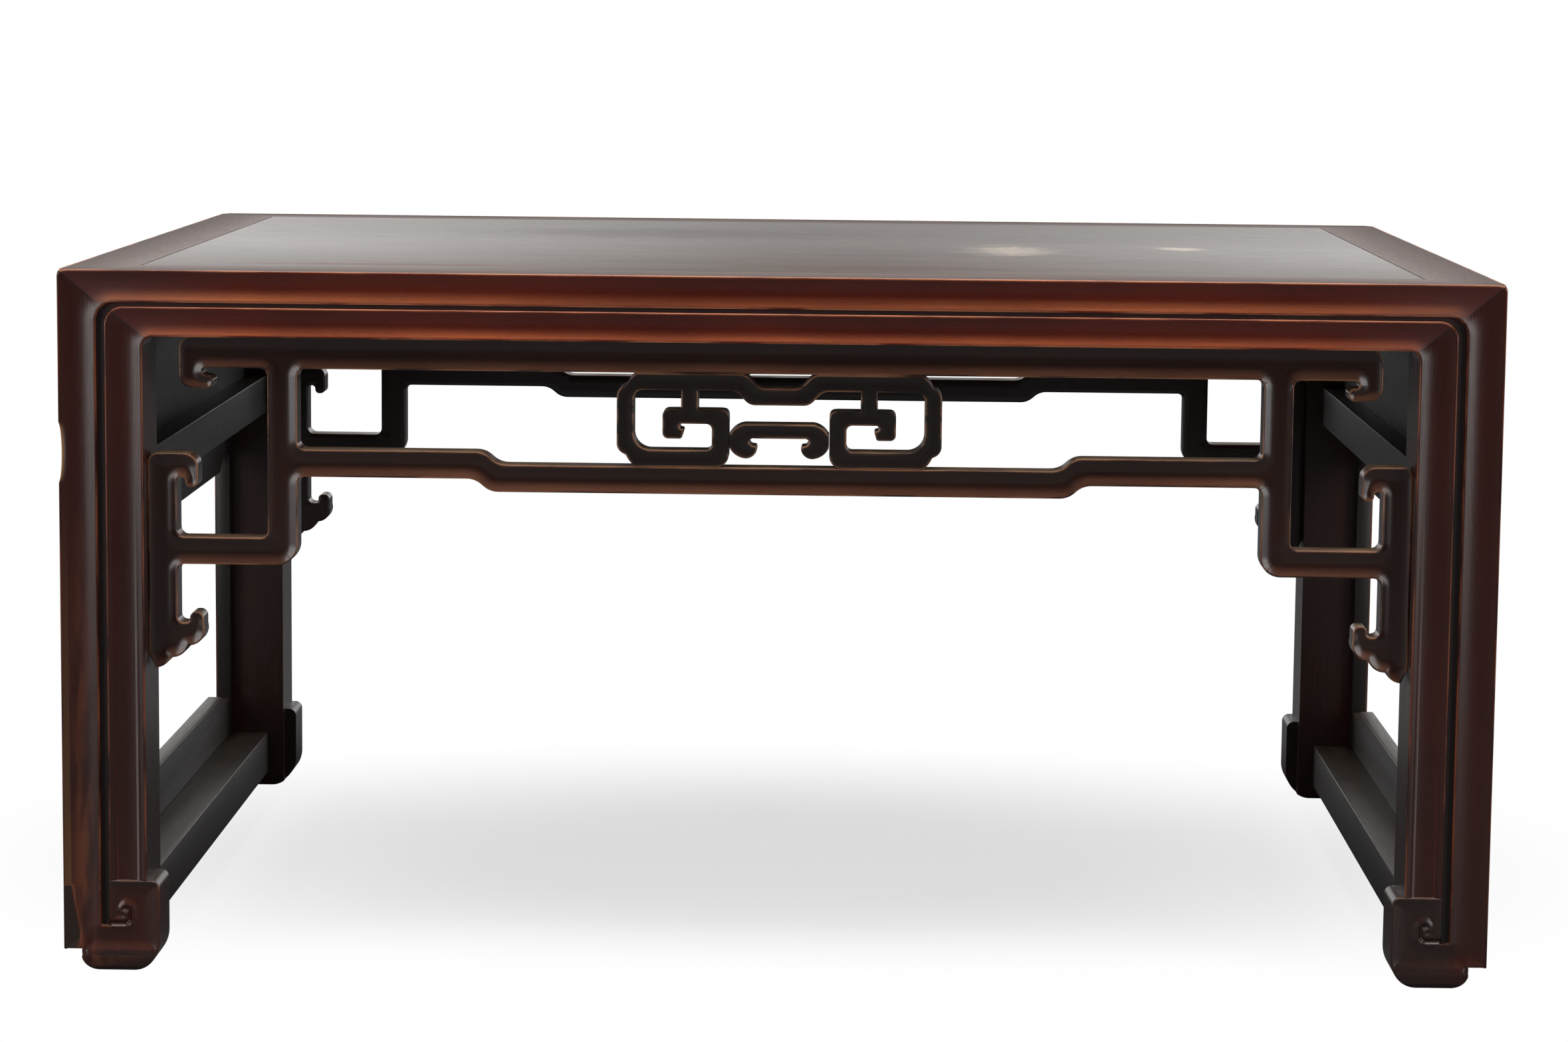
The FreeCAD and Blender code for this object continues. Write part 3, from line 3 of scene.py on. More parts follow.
import json
import logging
import math
from collections.abc import Callable, Iterator
from contextlib import contextmanager
from dataclasses import dataclass
from enum import Enum

import bmesh
import bpy
import numpy as np
from mathutils import Matrix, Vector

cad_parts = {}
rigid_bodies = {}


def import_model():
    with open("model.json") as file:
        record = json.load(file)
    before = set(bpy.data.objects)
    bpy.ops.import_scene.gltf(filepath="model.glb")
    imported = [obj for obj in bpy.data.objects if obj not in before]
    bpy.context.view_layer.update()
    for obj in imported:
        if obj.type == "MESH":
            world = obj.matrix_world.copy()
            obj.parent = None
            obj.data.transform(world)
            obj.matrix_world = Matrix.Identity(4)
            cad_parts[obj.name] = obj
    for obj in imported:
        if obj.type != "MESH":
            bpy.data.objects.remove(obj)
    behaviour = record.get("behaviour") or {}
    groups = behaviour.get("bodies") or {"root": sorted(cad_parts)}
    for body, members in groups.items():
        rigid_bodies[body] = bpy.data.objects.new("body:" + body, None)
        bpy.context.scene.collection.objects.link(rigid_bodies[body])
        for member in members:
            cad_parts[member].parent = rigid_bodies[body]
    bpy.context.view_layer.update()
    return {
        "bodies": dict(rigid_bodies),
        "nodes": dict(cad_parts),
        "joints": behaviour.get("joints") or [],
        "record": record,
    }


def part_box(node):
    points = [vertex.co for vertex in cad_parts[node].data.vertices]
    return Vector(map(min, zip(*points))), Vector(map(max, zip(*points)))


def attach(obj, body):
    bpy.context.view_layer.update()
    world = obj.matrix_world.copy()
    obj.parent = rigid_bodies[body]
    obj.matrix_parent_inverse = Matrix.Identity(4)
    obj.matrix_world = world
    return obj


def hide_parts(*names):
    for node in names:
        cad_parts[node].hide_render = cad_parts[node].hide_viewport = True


log = logging.getLogger("kang_table")

# Lengths are in millimetres, apart from those of the studio and the welding distance, in metres.
MM = 0.001
HALF_LENGTH = 420.0
HALF_DEPTH = 320.0
TOP = 417.0
BODY = "root"
WELD = 0.00001
TINY = 0.001
ON_PLANE = 0.01
BEHIND_ARRIS = 2.4
WEAR_WIDTH = 0.9
BEAD_STEPS = (0.1, 0.29, 0.6, 1.0)
EDGE_STEPS = (0.9, 0.55, 0.25, 0.1)
SMOOTH_ANGLE = math.radians(32)
SHARP_ANGLE = math.radians(35)
FLAT_ANGLE = math.radians(0.3)
HALF_TURN = Matrix.Rotation(math.pi, 4, "Z")
ACROSS = Matrix.Scale(-1, 4, (1, 0, 0))
SHADE = (0.7, 0.66, 0.64, 1)
THREAD = (0.6, 0.55, 0.55, 1)
PORE = (0.35, 0.3, 0.3, 1)
PATCH_COLOUR = "#1F1613"
BARE_COLOUR = "#B98A55"
# Colour of the painted shade in the grooves and of the darker ends of rails and aprons.
GROOVE_SHADE_AND_DULLING_COLOUR = "#15100E"
JOINT_COLOUR = "#120A08"


class Grain(Enum):
    """The way the grain of a piece runs: the axes that follow the pattern's X, Y and Z."""

    LENGTH = "XYZ"
    DEPTH = "YXZ"
    HEIGHT = "ZXY"


class Slot(Enum):
    """The record's material slots."""

    TOP = "top_wood"
    FRAME = "frame_wood"
    FRET = "fretwork_wood"


def linear(colour: str) -> tuple[float, float, float, float]:
    """Turns an sRGB hex colour into a linear one.

    Args:
        colour: six hex digits after a #.

    Returns:
        Red, green, blue and alpha, linear.
    """
    levels = [int(colour[i : i + 2], 16) / 255 for i in (1, 3, 5)]
    flat = [c / 12.92 if c <= 0.04045 else ((c + 0.055) / 1.055) ** 2.4 for c in levels]
    return (flat[0], flat[1], flat[2], 1.0)


def add_node(tree: bpy.types.NodeTree, kind: str, inputs: dict | None = None, **settings) -> bpy.types.Node:
    """Adds a node with its settings and its inputs, values or links.

    Args:
        tree: the node tree.
        kind: the node's type.
        inputs: socket name or number, to a value or to the output that feeds it.
        settings: the node's own properties.

    Returns:
        The new node.
    """
    node = tree.nodes.new(kind)
    for name, value in settings.items():
        setattr(node, name, value)
    for key, value in (inputs or {}).items():
        if isinstance(value, bpy.types.NodeSocket):
            tree.links.new(value, node.inputs[key])
        else:
            node.inputs[key].default_value = value
    return node


def maths(
    tree: bpy.types.NodeTree, first, second, kind: str = "MULTIPLY", third=0.5
) -> bpy.types.NodeSocket:
    """Reckons with two or three numbers, each a value or an output."""
    return add_node(tree, "ShaderNodeMath", {0: first, 1: second, 2: third}, operation=kind).outputs[0]


def map_range(
    tree: bpy.types.NodeTree, value, low: float, high: float, first: float, last: float, soft: bool = True
) -> bpy.types.NodeSocket:
    """Maps the range of a number from low to high onto first to last."""
    inputs = {0: value, 1: low, 2: high, 3: first, 4: last}
    kind = "SMOOTHSTEP" if soft else "LINEAR"
    return add_node(tree, "ShaderNodeMapRange", inputs, interpolation_type=kind).outputs[0]


def seen_directly(tree: bpy.types.NodeTree, ray: bpy.types.bpy_prop_collection) -> bpy.types.NodeSocket:
    """Tells the rays that the camera sees straight on, or through glass, from all others."""
    return maths(tree, ray["Is Camera Ray"], ray["Is Transmission Ray"], "MAXIMUM")


@dataclass(frozen=True)
class PolishedHardwood:
    """Dark tropical hardwood, waxed for generations: close grain, fine pores, soft gloss.

    Faces that look up are painted a lighter red and faces that look down a darker one, as painted light
    and shade; fine streaks follow the grain, arrises are worn, grooves are darkened as painted shade,
    and level faces a thin pale film.
    """

    name: str
    # dark and light: the colours painted on faces that look down and up, as painted shade and painted light.
    dark: str
    light: str
    worn: str = "#7E4226"
    level: str = "#8A7458"
    levelled: float = 0.0
    patchy: float = 0.8
    level_roughness: float = 0.7
    wear: float = 0.6
    roughness: float = 0.26
    ior: float = 1.45
    streak_width: float = 9.0
    stains: tuple["Stain", ...] = ()

    def material(self, grain: Grain) -> bpy.types.Material:
        """Returns the finish for wood whose grain runs one way.

        Args:
            grain: the way the grain runs.

        Returns:
            The material, made once for each way.
        """
        title = "%s_%s" % (self.name, grain.name.lower())
        return bpy.data.materials.get(title) or self._made(title, grain)

    def _made(self, title: str, grain: Grain) -> bpy.types.Material:
        """Builds the node tree of the finish.

        Args:
            title: the material's name.
            grain: the way the grain runs.

        Returns:
            The new material.
        """
        material = bpy.data.materials.new(title)
        material.use_nodes = True
        tree = material.node_tree
        tree.nodes.clear()
        place = add_node(tree, "ShaderNodeTexCoord").outputs["Object"]
        parts = add_node(tree, "ShaderNodeSeparateXYZ", {0: place})
        order = {i: parts.outputs[axis] for i, axis in enumerate(grain.value)}
        along = add_node(tree, "ShaderNodeCombineXYZ", order).outputs[0]

        def noise(length: float, width: float, detail: float = 3.0) -> bpy.types.NodeSocket:
            """Noise stretched along the grain, with the length and width of its marks in mm."""
            size = (1000 / length, 1000 / width, 1000 / width)
            vector = add_node(tree, "ShaderNodeVectorMath", {0: along, 1: size}, operation="MULTIPLY")
            inputs = {"Vector": vector.outputs[0], "Scale": 1.0, "Detail": detail}
            return add_node(tree, "ShaderNodeTexNoise", inputs).outputs[0]

        def spread(value, low: float, high: float, top: float = 1.0) -> bpy.types.NodeSocket:
            """Spreads a range of a value softly over 0 to top."""
            return map_range(tree, value, low, high, 0.0, top)

        def blend(share, first, second, kind: str = "MIX") -> bpy.types.NodeSocket:
            """Mixes two colours by a share."""
            inputs = {0: share, 6: first, 7: second}
            return add_node(tree, "ShaderNodeMix", inputs, data_type="RGBA", blend_type=kind).outputs[2]

        def darken(colour, share, tint: tuple) -> bpy.types.NodeSocket:
            """Tints a colour by a share."""
            return blend(share, colour, blend(1.0, colour, tint, "MULTIPLY"))

        def attribute(name: str) -> bpy.types.NodeSocket:
            """Reads one of the piece's own attributes."""
            return add_node(tree, "ShaderNodeAttribute", attribute_name=name).outputs["Fac"]

        def scaled(value, factor: float, base: float) -> bpy.types.NodeSocket:
            """Multiplies a number and adds to it."""
            return maths(tree, maths(tree, value, factor), base, "ADD")

        # Painted light and shade: faces that look up get the lighter colour, faces that look down the darker one,
        # varied by the grain's streaks.
        facing = add_node(tree, "ShaderNodeNewGeometry").outputs["Normal"]
        facing = add_node(tree, "ShaderNodeSeparateXYZ", {0: facing}).outputs["Z"]
        fibres = noise(22, 0.9, 2.0)
        streaks = spread(noise(260, self.streak_width, 4.0), 0.3, 0.7)
        tone = maths(tree, spread(facing, 0.04, 0.42), scaled(streaks, 0.5, 0.5))
        colour = blend(tone, linear(self.dark), linear(self.light))
        colour = darken(colour, spread(noise(120, 60, 2.0), 0.35, 0.7), SHADE)
        colour = darken(colour, spread(fibres, 0.45, 0.75, 0.45), THREAD)
        colour = darken(colour, spread(noise(5, 0.35, 1.0), 0.62, 0.72, 0.5), PORE)
        rough = scaled(spread(fibres, 0.3, 0.8, 0.08), 1.0, self.roughness)

        if self.levelled:
            flat = maths(tree, spread(facing, 0.86, 0.985), self.levelled)
            flat = maths(tree, flat, scaled(spread(noise(30, 14), 0.3, 0.7), self.patchy, 1 - self.patchy))
            colour = blend(flat, colour, linear(self.level))
            rough = maths(tree, rough, maths(tree, flat, self.level_roughness - self.roughness), "ADD")
        for stain in self.stains:
            colour, rough = stain.lay(tree, colour, rough, place, noise)
        rubbed = maths(tree, attribute("worn"), spread(noise(45, 6, 4.0), 0.36, 0.6, self.wear))
        colour = blend(rubbed, colour, linear(self.worn))
        colour = blend(maths(tree, attribute("patch"), 0.85), colour, linear(PATCH_COLOUR))
        colour = blend(attribute("bare"), colour, linear(BARE_COLOUR))
        # Painted shade in the grooves, and darker, rougher ends of rails and aprons, read from one attribute.
        dirt = attribute("dirt")
        colour = blend(maths(tree, dirt, 0.6), colour, linear(GROOVE_SHADE_AND_DULLING_COLOUR))
        rough = maths(tree, rough, maths(tree, dirt, 0.35), "ADD")
        colour = blend(maths(tree, attribute("seam"), 0.9), colour, linear(JOINT_COLOUR))
        relief = {"Height": fibres, "Strength": 0.25, "Distance": 0.12 * MM}
        bump = add_node(tree, "ShaderNodeBump", relief).outputs[0]
        inputs = {"Base Color": colour, "Roughness": rough, "IOR": self.ior, "Normal": bump}
        shader = add_node(tree, "ShaderNodeBsdfPrincipled", inputs)
        add_node(tree, "ShaderNodeOutputMaterial", {0: shader.outputs[0]})
        return material


@dataclass(frozen=True)
class Stain:
    """A faint patch of another tone on the top, where something stood or spilled."""

    x: float
    y: float
    reach_x: float
    reach_y: float
    colour: str
    strength: float
    broken: float = 0.0
    dull: float = 0.2

    def lay(self, tree: bpy.types.NodeTree, colour, rough, place, noise: Callable) -> tuple:
        """Lays the patch over a colour.

        Args:
            tree: the node tree.
            colour: the colour under it.
            rough: the roughness under it.
            place: object coordinates.
            noise: the finish's own noise.

        Returns:
            The colour and the roughness with the patch.
        """
        centre = add_node(
            tree,
            "ShaderNodeMapping",
            {
                "Vector": place,
                "Location": (-self.x / self.reach_x, -self.y / self.reach_y, 0),
                "Scale": (1000 / self.reach_x, 1000 / self.reach_y, 0),
            },
        )
        away = add_node(tree, "ShaderNodeVectorMath", {0: centre.outputs[0]}, operation="LENGTH")
        ripple = maths(tree, noise(28, 16, 4.0), 1.1, "MULTIPLY_ADD", -0.55)
        edge = maths(tree, away.outputs["Value"], ripple, "ADD")
        share = map_range(tree, edge, 1.0, 0.2, 0.0, self.strength)
        if self.broken:
            specks = map_range(tree, noise(6, 4, 3.0), 0.45, 0.62, 1 - self.broken, 1.0, soft=False)
            share = maths(tree, share, specks)
        inputs = {0: share, 6: colour, 7: linear(self.colour)}
        mixed = add_node(tree, "ShaderNodeMix", inputs, data_type="RGBA").outputs[2]
        return mixed, maths(tree, share, self.dull, "MULTIPLY_ADD", rough)


# The first two colours of each finish are painted shade for faces that look down and painted light for faces that
# look up.
RAIL_WOOD = PolishedHardwood(
    "rail_hardwood",
    "#4C1406",
    "#9A5431",
    worn="#B06E4E",
    wear=0.75,
    level="#4E3B32",
    levelled=0.95,
    patchy=0.12,
    level_roughness=0.25,
)
APRON_WOOD = PolishedHardwood("apron_hardwood", "#481307", "#92492A", worn="#B06844", wear=0.85)
LEG_WOOD = PolishedHardwood("leg_hardwood", "#2E0F08", "#432017", worn="#84492F", wear=0.6, levelled=0.5)
FRET_WOOD = PolishedHardwood(
    "fretwork_hardwood", "#24100A", "#644030", worn="#966446", wear=0.7, levelled=0.8, roughness=0.2, ior=1.5
)
ORNAMENT_WOOD = PolishedHardwood(
    "ornament_hardwood", "#18100D", "#40281D", worn="#8A6248", wear=0.8, levelled=0.6, roughness=0.3
)
SIDE_WOOD = PolishedHardwood("side_hardwood", "#1E1714", "#33271F", wear=0.25, levelled=0.1, roughness=0.4)
PANEL_WOOD = PolishedHardwood(
    "panel_hardwood",
    "#2C211B",
    "#4A382E",
    wear=0.2,
    roughness=0.25,
    streak_width=16.0,
    stains=(
        Stain(-229, -245, 130, 16, "#5E2A1D", 0.5),
        Stain(60, -230, 120, 30, "#4E2A1F", 0.3),
        Stain(143, -38, 40, 76, "#B0A597", 0.9, 0.5),
        Stain(255, 0, 24, 26, "#C0B4A5", 0.9, 0.3),
        Stain(-60, 120, 200, 90, "#332F29", 0.4),
    ),
)


def select_only(piece: bpy.types.Object) -> None:
    """Makes a piece the only selected object and the active one."""
    bpy.ops.object.select_all(action="DESELECT")
    bpy.context.view_layer.objects.active = piece
    piece.select_set(True)


@contextmanager
def editing(piece: bpy.types.Object, mode: str = "FACE") -> Iterator[None]:
    """Opens a piece in edit mode with nothing selected, and closes it again.

    Args:
        piece: the object.
        mode: what is selected, VERT, EDGE or FACE.
    """
    select_only(piece)
    bpy.ops.object.mode_set(mode="EDIT")
    bpy.ops.mesh.reveal(select=False)
    bpy.ops.mesh.select_mode(type=mode)
    bpy.ops.mesh.select_all(action="DESELECT")
    yield
    bpy.ops.object.mode_set(mode="OBJECT")


def pick_faces(piece: bpy.types.Object, wanted: Callable[[bmesh.types.BMFace], bool]) -> None:
    """Selects, in edit mode, the faces that a test wants.

    Args:
        piece: the object in edit mode.
        wanted: the test.
    """
    for face in bmesh.from_edit_mesh(piece.data).faces:
        face.select_set(wanted(face))
    bmesh.update_edit_mesh(piece.data)


def weld(piece: bpy.types.Object) -> None:
    """Merges a piece's loose triangles into flat faces."""
    with editing(piece):
        bpy.ops.mesh.select_all(action="SELECT")
        bpy.ops.mesh.remove_doubles(threshold=WELD)
        bpy.ops.mesh.dissolve_limited(angle_limit=FLAT_ANGLE)


def blank(node: bpy.types.Object, name: str) -> bpy.types.Object:
    """Starts a piece from a CAD solid.

    Args:
        node: the CAD node.
        name: the new piece's name.

    Returns:
        The piece, welded into flat faces.
    """
    mesh = node.data.copy()
    mesh.name = name
    mesh.materials.clear()
    piece = bpy.data.objects.new(name, mesh)
    bpy.context.scene.collection.objects.link(piece)
    with editing(piece):
        if piece.data.has_custom_normals:
            bpy.ops.mesh.customdata_custom_splitnormals_clear()
    weld(piece)
    return piece


def points(piece: bpy.types.Object) -> np.ndarray:
    """The piece's points, in millimetres."""
    flat = np.empty(len(piece.data.vertices) * 3)
    piece.data.vertices.foreach_get("co", flat)
    return flat.reshape(-1, 3) / MM


def move_points(piece: bpy.types.Object, places: np.ndarray) -> None:
    """Puts the piece's points at new places, in millimetres."""
    piece.data.vertices.foreach_set("co", (places * MM).ravel())
    piece.data.update()


def mark(piece: bpy.types.Object, name: str, values: np.ndarray) -> None:
    """Writes one value per point into an attribute that the finishes read."""
    layer = piece.data.attributes.get(name) or piece.data.attributes.new(name, "FLOAT", "POINT")
    layer.data.foreach_set("value", values.astype(np.float32))


def read(piece: bpy.types.Object, name: str) -> np.ndarray:
    """Reads one attribute of a piece, one value per point."""
    values = np.empty(len(piece.data.vertices), dtype=np.float32)
    piece.data.attributes[name].data.foreach_get("value", values)
    return values


def score(piece: bpy.types.Object, lines: dict[int, list[float]], skin: Callable | None = None) -> None:
    """Divides a piece, or its skin alone, by planes across the axes.

    Args:
        piece: the object.
        lines: axis number to the places of its planes, in millimetres.
        skin: the test that picks the faces to divide.
    """
    with editing(piece):
        if skin:
            pick_faces(piece, skin)
            bpy.ops.mesh.hide(unselected=True)
        for axis, places in lines.items():
            normal = [0.0, 0.0, 0.0]
            normal[axis] = 1.0
            for value in places:
                spot = [0.0, 0.0, 0.0]
                spot[axis] = value * MM
                bpy.ops.mesh.select_all(action="SELECT")
                bpy.ops.mesh.bisect(plane_co=spot, plane_no=normal)
        bpy.ops.mesh.reveal(select=False)


def finish_piece(
    piece: bpy.types.Object, finish: PolishedHardwood, grain: Grain, node: str
) -> None:
    """Smooths a piece, gives it its finish and lets it stand for its CAD node."""
    select_only(piece)
    bpy.ops.object.shade_smooth_by_angle(angle=SMOOTH_ANGLE)
    piece.data.materials.clear()
    piece.data.materials.append(finish.material(grain))
    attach(piece, BODY)
    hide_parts(node)
    log.info("%s: %d faces", piece.name, len(piece.data.polygons))


def twin(piece: bpy.types.Object, name: str, move: Matrix) -> bpy.types.Object:
    """Copies a shaped piece to another side of the table.

    Args:
        piece: the shaped piece.
        name: the copy's name.
        move: the turn or mirror that brings it there.

    Returns:
        The copy, with its own mesh.
    """
    mesh = piece.data.copy()
    mesh.name = name
    mesh.transform(move)
    if move.determinant() < 0:
        mesh.flip_normals()
    copy = bpy.data.objects.new(name, mesh)
    bpy.context.scene.collection.objects.link(copy)
    return copy


def soften(piece: bpy.types.Object, width: float, segments: int = 3) -> None:
    """Rounds the sharp edges of a plain piece.

    Args:
        piece: the object.
        width: how far the rounding reaches from an edge, in millimetres.
        segments: the rounding's steps.
    """
    modifier = piece.modifiers.new("soft_edges", "BEVEL")
    modifier.width = width * MM
    modifier.segments = segments
    modifier.limit_method = "ANGLE"
    modifier.angle_limit = SHARP_ANGLE
    modifier.use_clamp_overlap = True
    select_only(piece)
    bpy.ops.object.modifier_apply(modifier=modifier.name)


def corner_distance(
    u: np.ndarray, v: np.ndarray, start_u: float, start_v: float, radius: float
) -> np.ndarray:
    """Distance to a square outline with one rounded corner, positive on its outer side.

    Args:
        u: distance from the nearer end of the side.
        v: depth below the top.
        start_u: the outline's place along u.
        start_v: the outline's place along v.
        radius: its rounding.

    Returns:
        The signed distance.
    """
    x = radius - (u - start_u)
    y = radius - (v - start_v)
    outside = np.hypot(np.maximum(x, 0), np.maximum(y, 0))
    return outside + np.minimum(np.maximum(x, y), 0) - radius


def segment_distance(x: np.ndarray, z: np.ndarray, segments: np.ndarray) -> np.ndarray:
    """Distance of points to the nearest of some segments.

    Args:
        x: the points' places along.
        z: the points' heights.
        segments: rows of x, z, x, z.

    Returns:
        The distances.
    """
    best = np.full(len(x), np.inf)
    for ax, az, bx, bz in segments:
        dx, dz = bx - ax, bz - az
        length = dx * dx + dz * dz
        share = np.clip(((x - ax) * dx + (z - az) * dz) / length, 0, 1) if length else 0.0
        best = np.minimum(best, np.hypot(x - ax - share * dx, z - az - share * dz))
    return best


def rounded(distance: np.ndarray, radius: float) -> np.ndarray:
    """Depth of a quarter round, by the distance from its edge."""
    short = radius - np.clip(distance, 0, radius)
    return radius - np.sqrt(np.maximum(radius * radius - short * short, 0))


def wear_by(near: np.ndarray, full: float) -> np.ndarray:
    """How worn a face is, by the distance from its edge."""
    return np.clip(full - near / WEAR_WIDTH, 0, 1)


def arc(centre_u: float, centre_z: float, radius: float, angles: list[float]) -> list[tuple[float, float]]:
    """Points on a circle, by their angles."""
    return [(centre_u + radius * math.cos(a), centre_z + radius * math.sin(a)) for a in angles]


def chained(path: list[tuple[float, float]]) -> list[tuple[float, float, float, float]]:
    """The segments between the points of a path, as rows of u, z, u, z."""
    return [(*a, *b) for a, b in zip(path, path[1:])]


def spaced(first: float, last: float, pitch: float) -> list[float]:
    """Places between two ends, at about one pitch."""
    count = max(1, round(abs(last - first) / pitch))
    return [first + (last - first) * i / count for i in range(count + 1)]


@dataclass(frozen=True)
class Mouldings:
    """The two hollow mouldings that frame each side of the table, and the carved face of a foot.

    Places on a side are u, the distance from its nearer end, and v, the depth below the top, or z, the
    height above the floor.
    """

    outer_u: float = 22.5
    outer_v: float = 19.0
    inner_u: float = 27.3
    inner_v: float = 21.5
    end_u: float = 49.5
    end_v: float = 39.0
    band_corner: float = 11.0
    opening_corner: float = 6.0
    table_corner: float = 4.0
    top_corner: float = 4.0
    bead: float = 1.4
    hollow: float = 2.3
    seam_width: float = 0.5
    edge_wear: float = 1.4
    groove_walls: tuple[float, float] = (2.6, 4.8)
    round_depth: float = 6.0
    foot_top: float = 56.0
    foot_reach: float = 57.0
    foot_corner: float = 5.0
    groove_end: float = 29.0
    band_end: float = 14.5
    heel: float = 10.8
    sole_round: tuple[float, float, float] = (37.0, 20.0, 20.0)
    foot_roll: float = 14.0
    roll_half: float = 7.5
    roll_soft: float = 3.0
    roll_shift: float = 0.68
    sole_soft: tuple[float, float] = (11.5, 3.0)
    scroll_turn: tuple[float, float, float] = (36.4, 32.8, 2.5)
    scroll_flat: float = 1.7
    scroll_half: float = 7.0
    scroll_width: float = 1.6
    scroll_cut: float = 2.2
    foot_dark: float = 0.88
    foot_dark_from: float = 17.0
    foot_dark_blend: float = 8.0
    foot_wear: float = 0.4
    foot_wear_top: float = 50.0

    def hollowed(self, outer: np.ndarray, inner: np.ndarray) -> tuple[np.ndarray, np.ndarray]:
        """Depth and nearness to an edge inside one moulding.

        Args:
            outer: distance to its outer edge.
            inner: distance to its inner edge.

        Returns:
            Depth below the face, and distance to the nearer edge.
        """
        outer = np.maximum(outer, 0)
        inner = np.maximum(inner, 0)
        share = outer / np.maximum(outer + inner, TINY)
        near = np.minimum(outer, inner)
        return rounded(near, self.bead) + self.hollow * 4 * share * (1 - share), near

    def depth(self, u: np.ndarray, v: np.ndarray) -> tuple[np.ndarray, np.ndarray]:
        """Depth of the two mouldings at places on a side.

        Args:
            u: distance from the nearer end of the side.
            v: depth below the top.

        Returns:
            Depth below the face, and distance to the nearest edge.
        """
        table = -corner_distance(u, v, 0, 0, self.table_corner)
        groove = corner_distance(u, v, self.outer_u, self.outer_v, self.band_corner)
        band = -corner_distance(u, v, self.inner_u, self.inner_v, self.band_corner)
        opening = corner_distance(u, v, self.end_u, self.end_v, self.opening_corner)
        outer_depth, outer_near = self.hollowed(table, groove)
        inner_depth, inner_near = self.hollowed(band, opening)
        outer = groove > -0.5 * (self.inner_u - self.outer_u)
        return np.where(outer, outer_depth, inner_depth), np.where(outer, outer_near, inner_near)

    def seams(self, u: np.ndarray, v: np.ndarray) -> np.ndarray:
        """Nearness to the two mitres of a corner, 1 on the joint."""
        outer = (0, 0, self.outer_u, self.outer_v)
        inner = (self.inner_u, self.inner_v, self.end_u, self.end_v)
        return np.clip(1 - segment_distance(u, v, np.array([outer, inner])) / self.seam_width, 0, 1)

    def foot_outline(self) -> np.ndarray:
        """The free edges of a foot's face, as rows of u, z, u, z."""
        above = 80.0
        corner = self.foot_corner
        path = arc(*self.sole_round, [math.radians(angle) for angle in range(-28, 4, 4)])
        turn = [math.pi / 2 * i / 6 for i in range(7)]
        path += arc(self.foot_reach - corner, self.foot_top - corner, corner, turn)
        path += [(self.inner_u, self.foot_top), (self.inner_u, self.groove_end)]
        path += [(self.outer_u, self.groove_end), (self.outer_u, above)]
        band = [(0, above), (0, self.band_end), (self.heel, self.band_end)]
        return np.array(chained(path) + chained(band))

    def scroll_line(self) -> np.ndarray:
        """The line of the scroll carved in a foot's face, as rows of u, z, u, z."""
        turn = arc(*self.scroll_turn, [math.pi / 8 * i for i in range(-4, 1)])
        hook = [(38.9, 37.8), (38.3, 38.9), (37.1, 39.2), (36.3, 38.6)]
        return np.array(chained([(26.0, 30.3)] + turn + hook))

    def foot(self, u: np.ndarray, z: np.ndarray) -> tuple[np.ndarray, np.ndarray]:
        """Depth of a foot's face: a hollow band that turns in along a line and rolls under at the sole.

        Args:
            u: distance from the nearer end of the side.
            z: height above the floor.

        Returns:
            Depth below the face, and distance to the nearest free edge.
        """
        near = segment_distance(u, z, self.foot_outline())
        line = segment_distance(u, z, self.scroll_line())
        above = z - self.foot_roll
        roll = 0.5 * (above + np.sqrt(above * above + self.roll_soft**2)) - self.roll_shift
        roll = np.hypot(np.maximum(roll, 0), np.maximum(self.foot_roll - u, 0))
        beside = np.maximum(line - self.scroll_flat, 0)
        depth = np.full(len(u), self.hollow)
        for away, half in ((near, self.outer_u / 2), (roll, self.roll_half), (beside, self.scroll_half)):
            share = (half - np.minimum(away, half)) / half
            depth = np.minimum(depth, self.hollow * (1 - share * share))
        start, blend = self.sole_soft
        edge = np.clip((z - start) / blend, 0, 1) * rounded(near, self.bead)
        cut = self.scroll_cut * np.exp(-((line / self.scroll_width) ** 2))
        return edge + depth + cut, near

    def round_corners(self, at: np.ndarray) -> np.ndarray:
        """Rounds the four upper corners of the table, seen from the front and from the side."""
        radius = self.top_corner
        half = (HALF_LENGTH, HALF_DEPTH)
        for axis, other in ((0, 1), (1, 0)):
            u = radius - (half[axis] - np.abs(at[:, axis]))
            v = radius - (TOP - at[:, 2])
            away = np.hypot(u, v)
            share = np.clip(1 - (half[other] - np.abs(at[:, other])) / self.round_depth, 0, 1)
            outside = (u > 0) & (v > 0) & (away > radius)
            pull = np.where(outside, (1 - radius / np.maximum(away, radius)) * share, 0)
            at[:, axis] -= np.sign(at[:, axis]) * u * pull
            at[:, 2] -= v * pull
        return at

    def carve(self, piece: bpy.types.Object, with_foot: bool = False) -> None:
        """Carves the outer faces of a piece and marks its worn edges, its mitres and the painted shade of its
        grooves.

        Args:
            piece: the piece with flat, divided faces.
            with_foot: whether it ends in a foot.
        """
        at = points(piece)
        back_x = HALF_LENGTH - np.abs(at[:, 0])
        back_y = HALF_DEPTH - np.abs(at[:, 1])
        v = TOP - at[:, 2]
        on_x, on_y = back_x < ON_PLANE, back_y < ON_PLANE
        low = at[:, 2] < self.foot_top + ON_PLANE
        moved = at.copy()
        worn = np.zeros(len(at))
        seam = np.zeros(len(at))
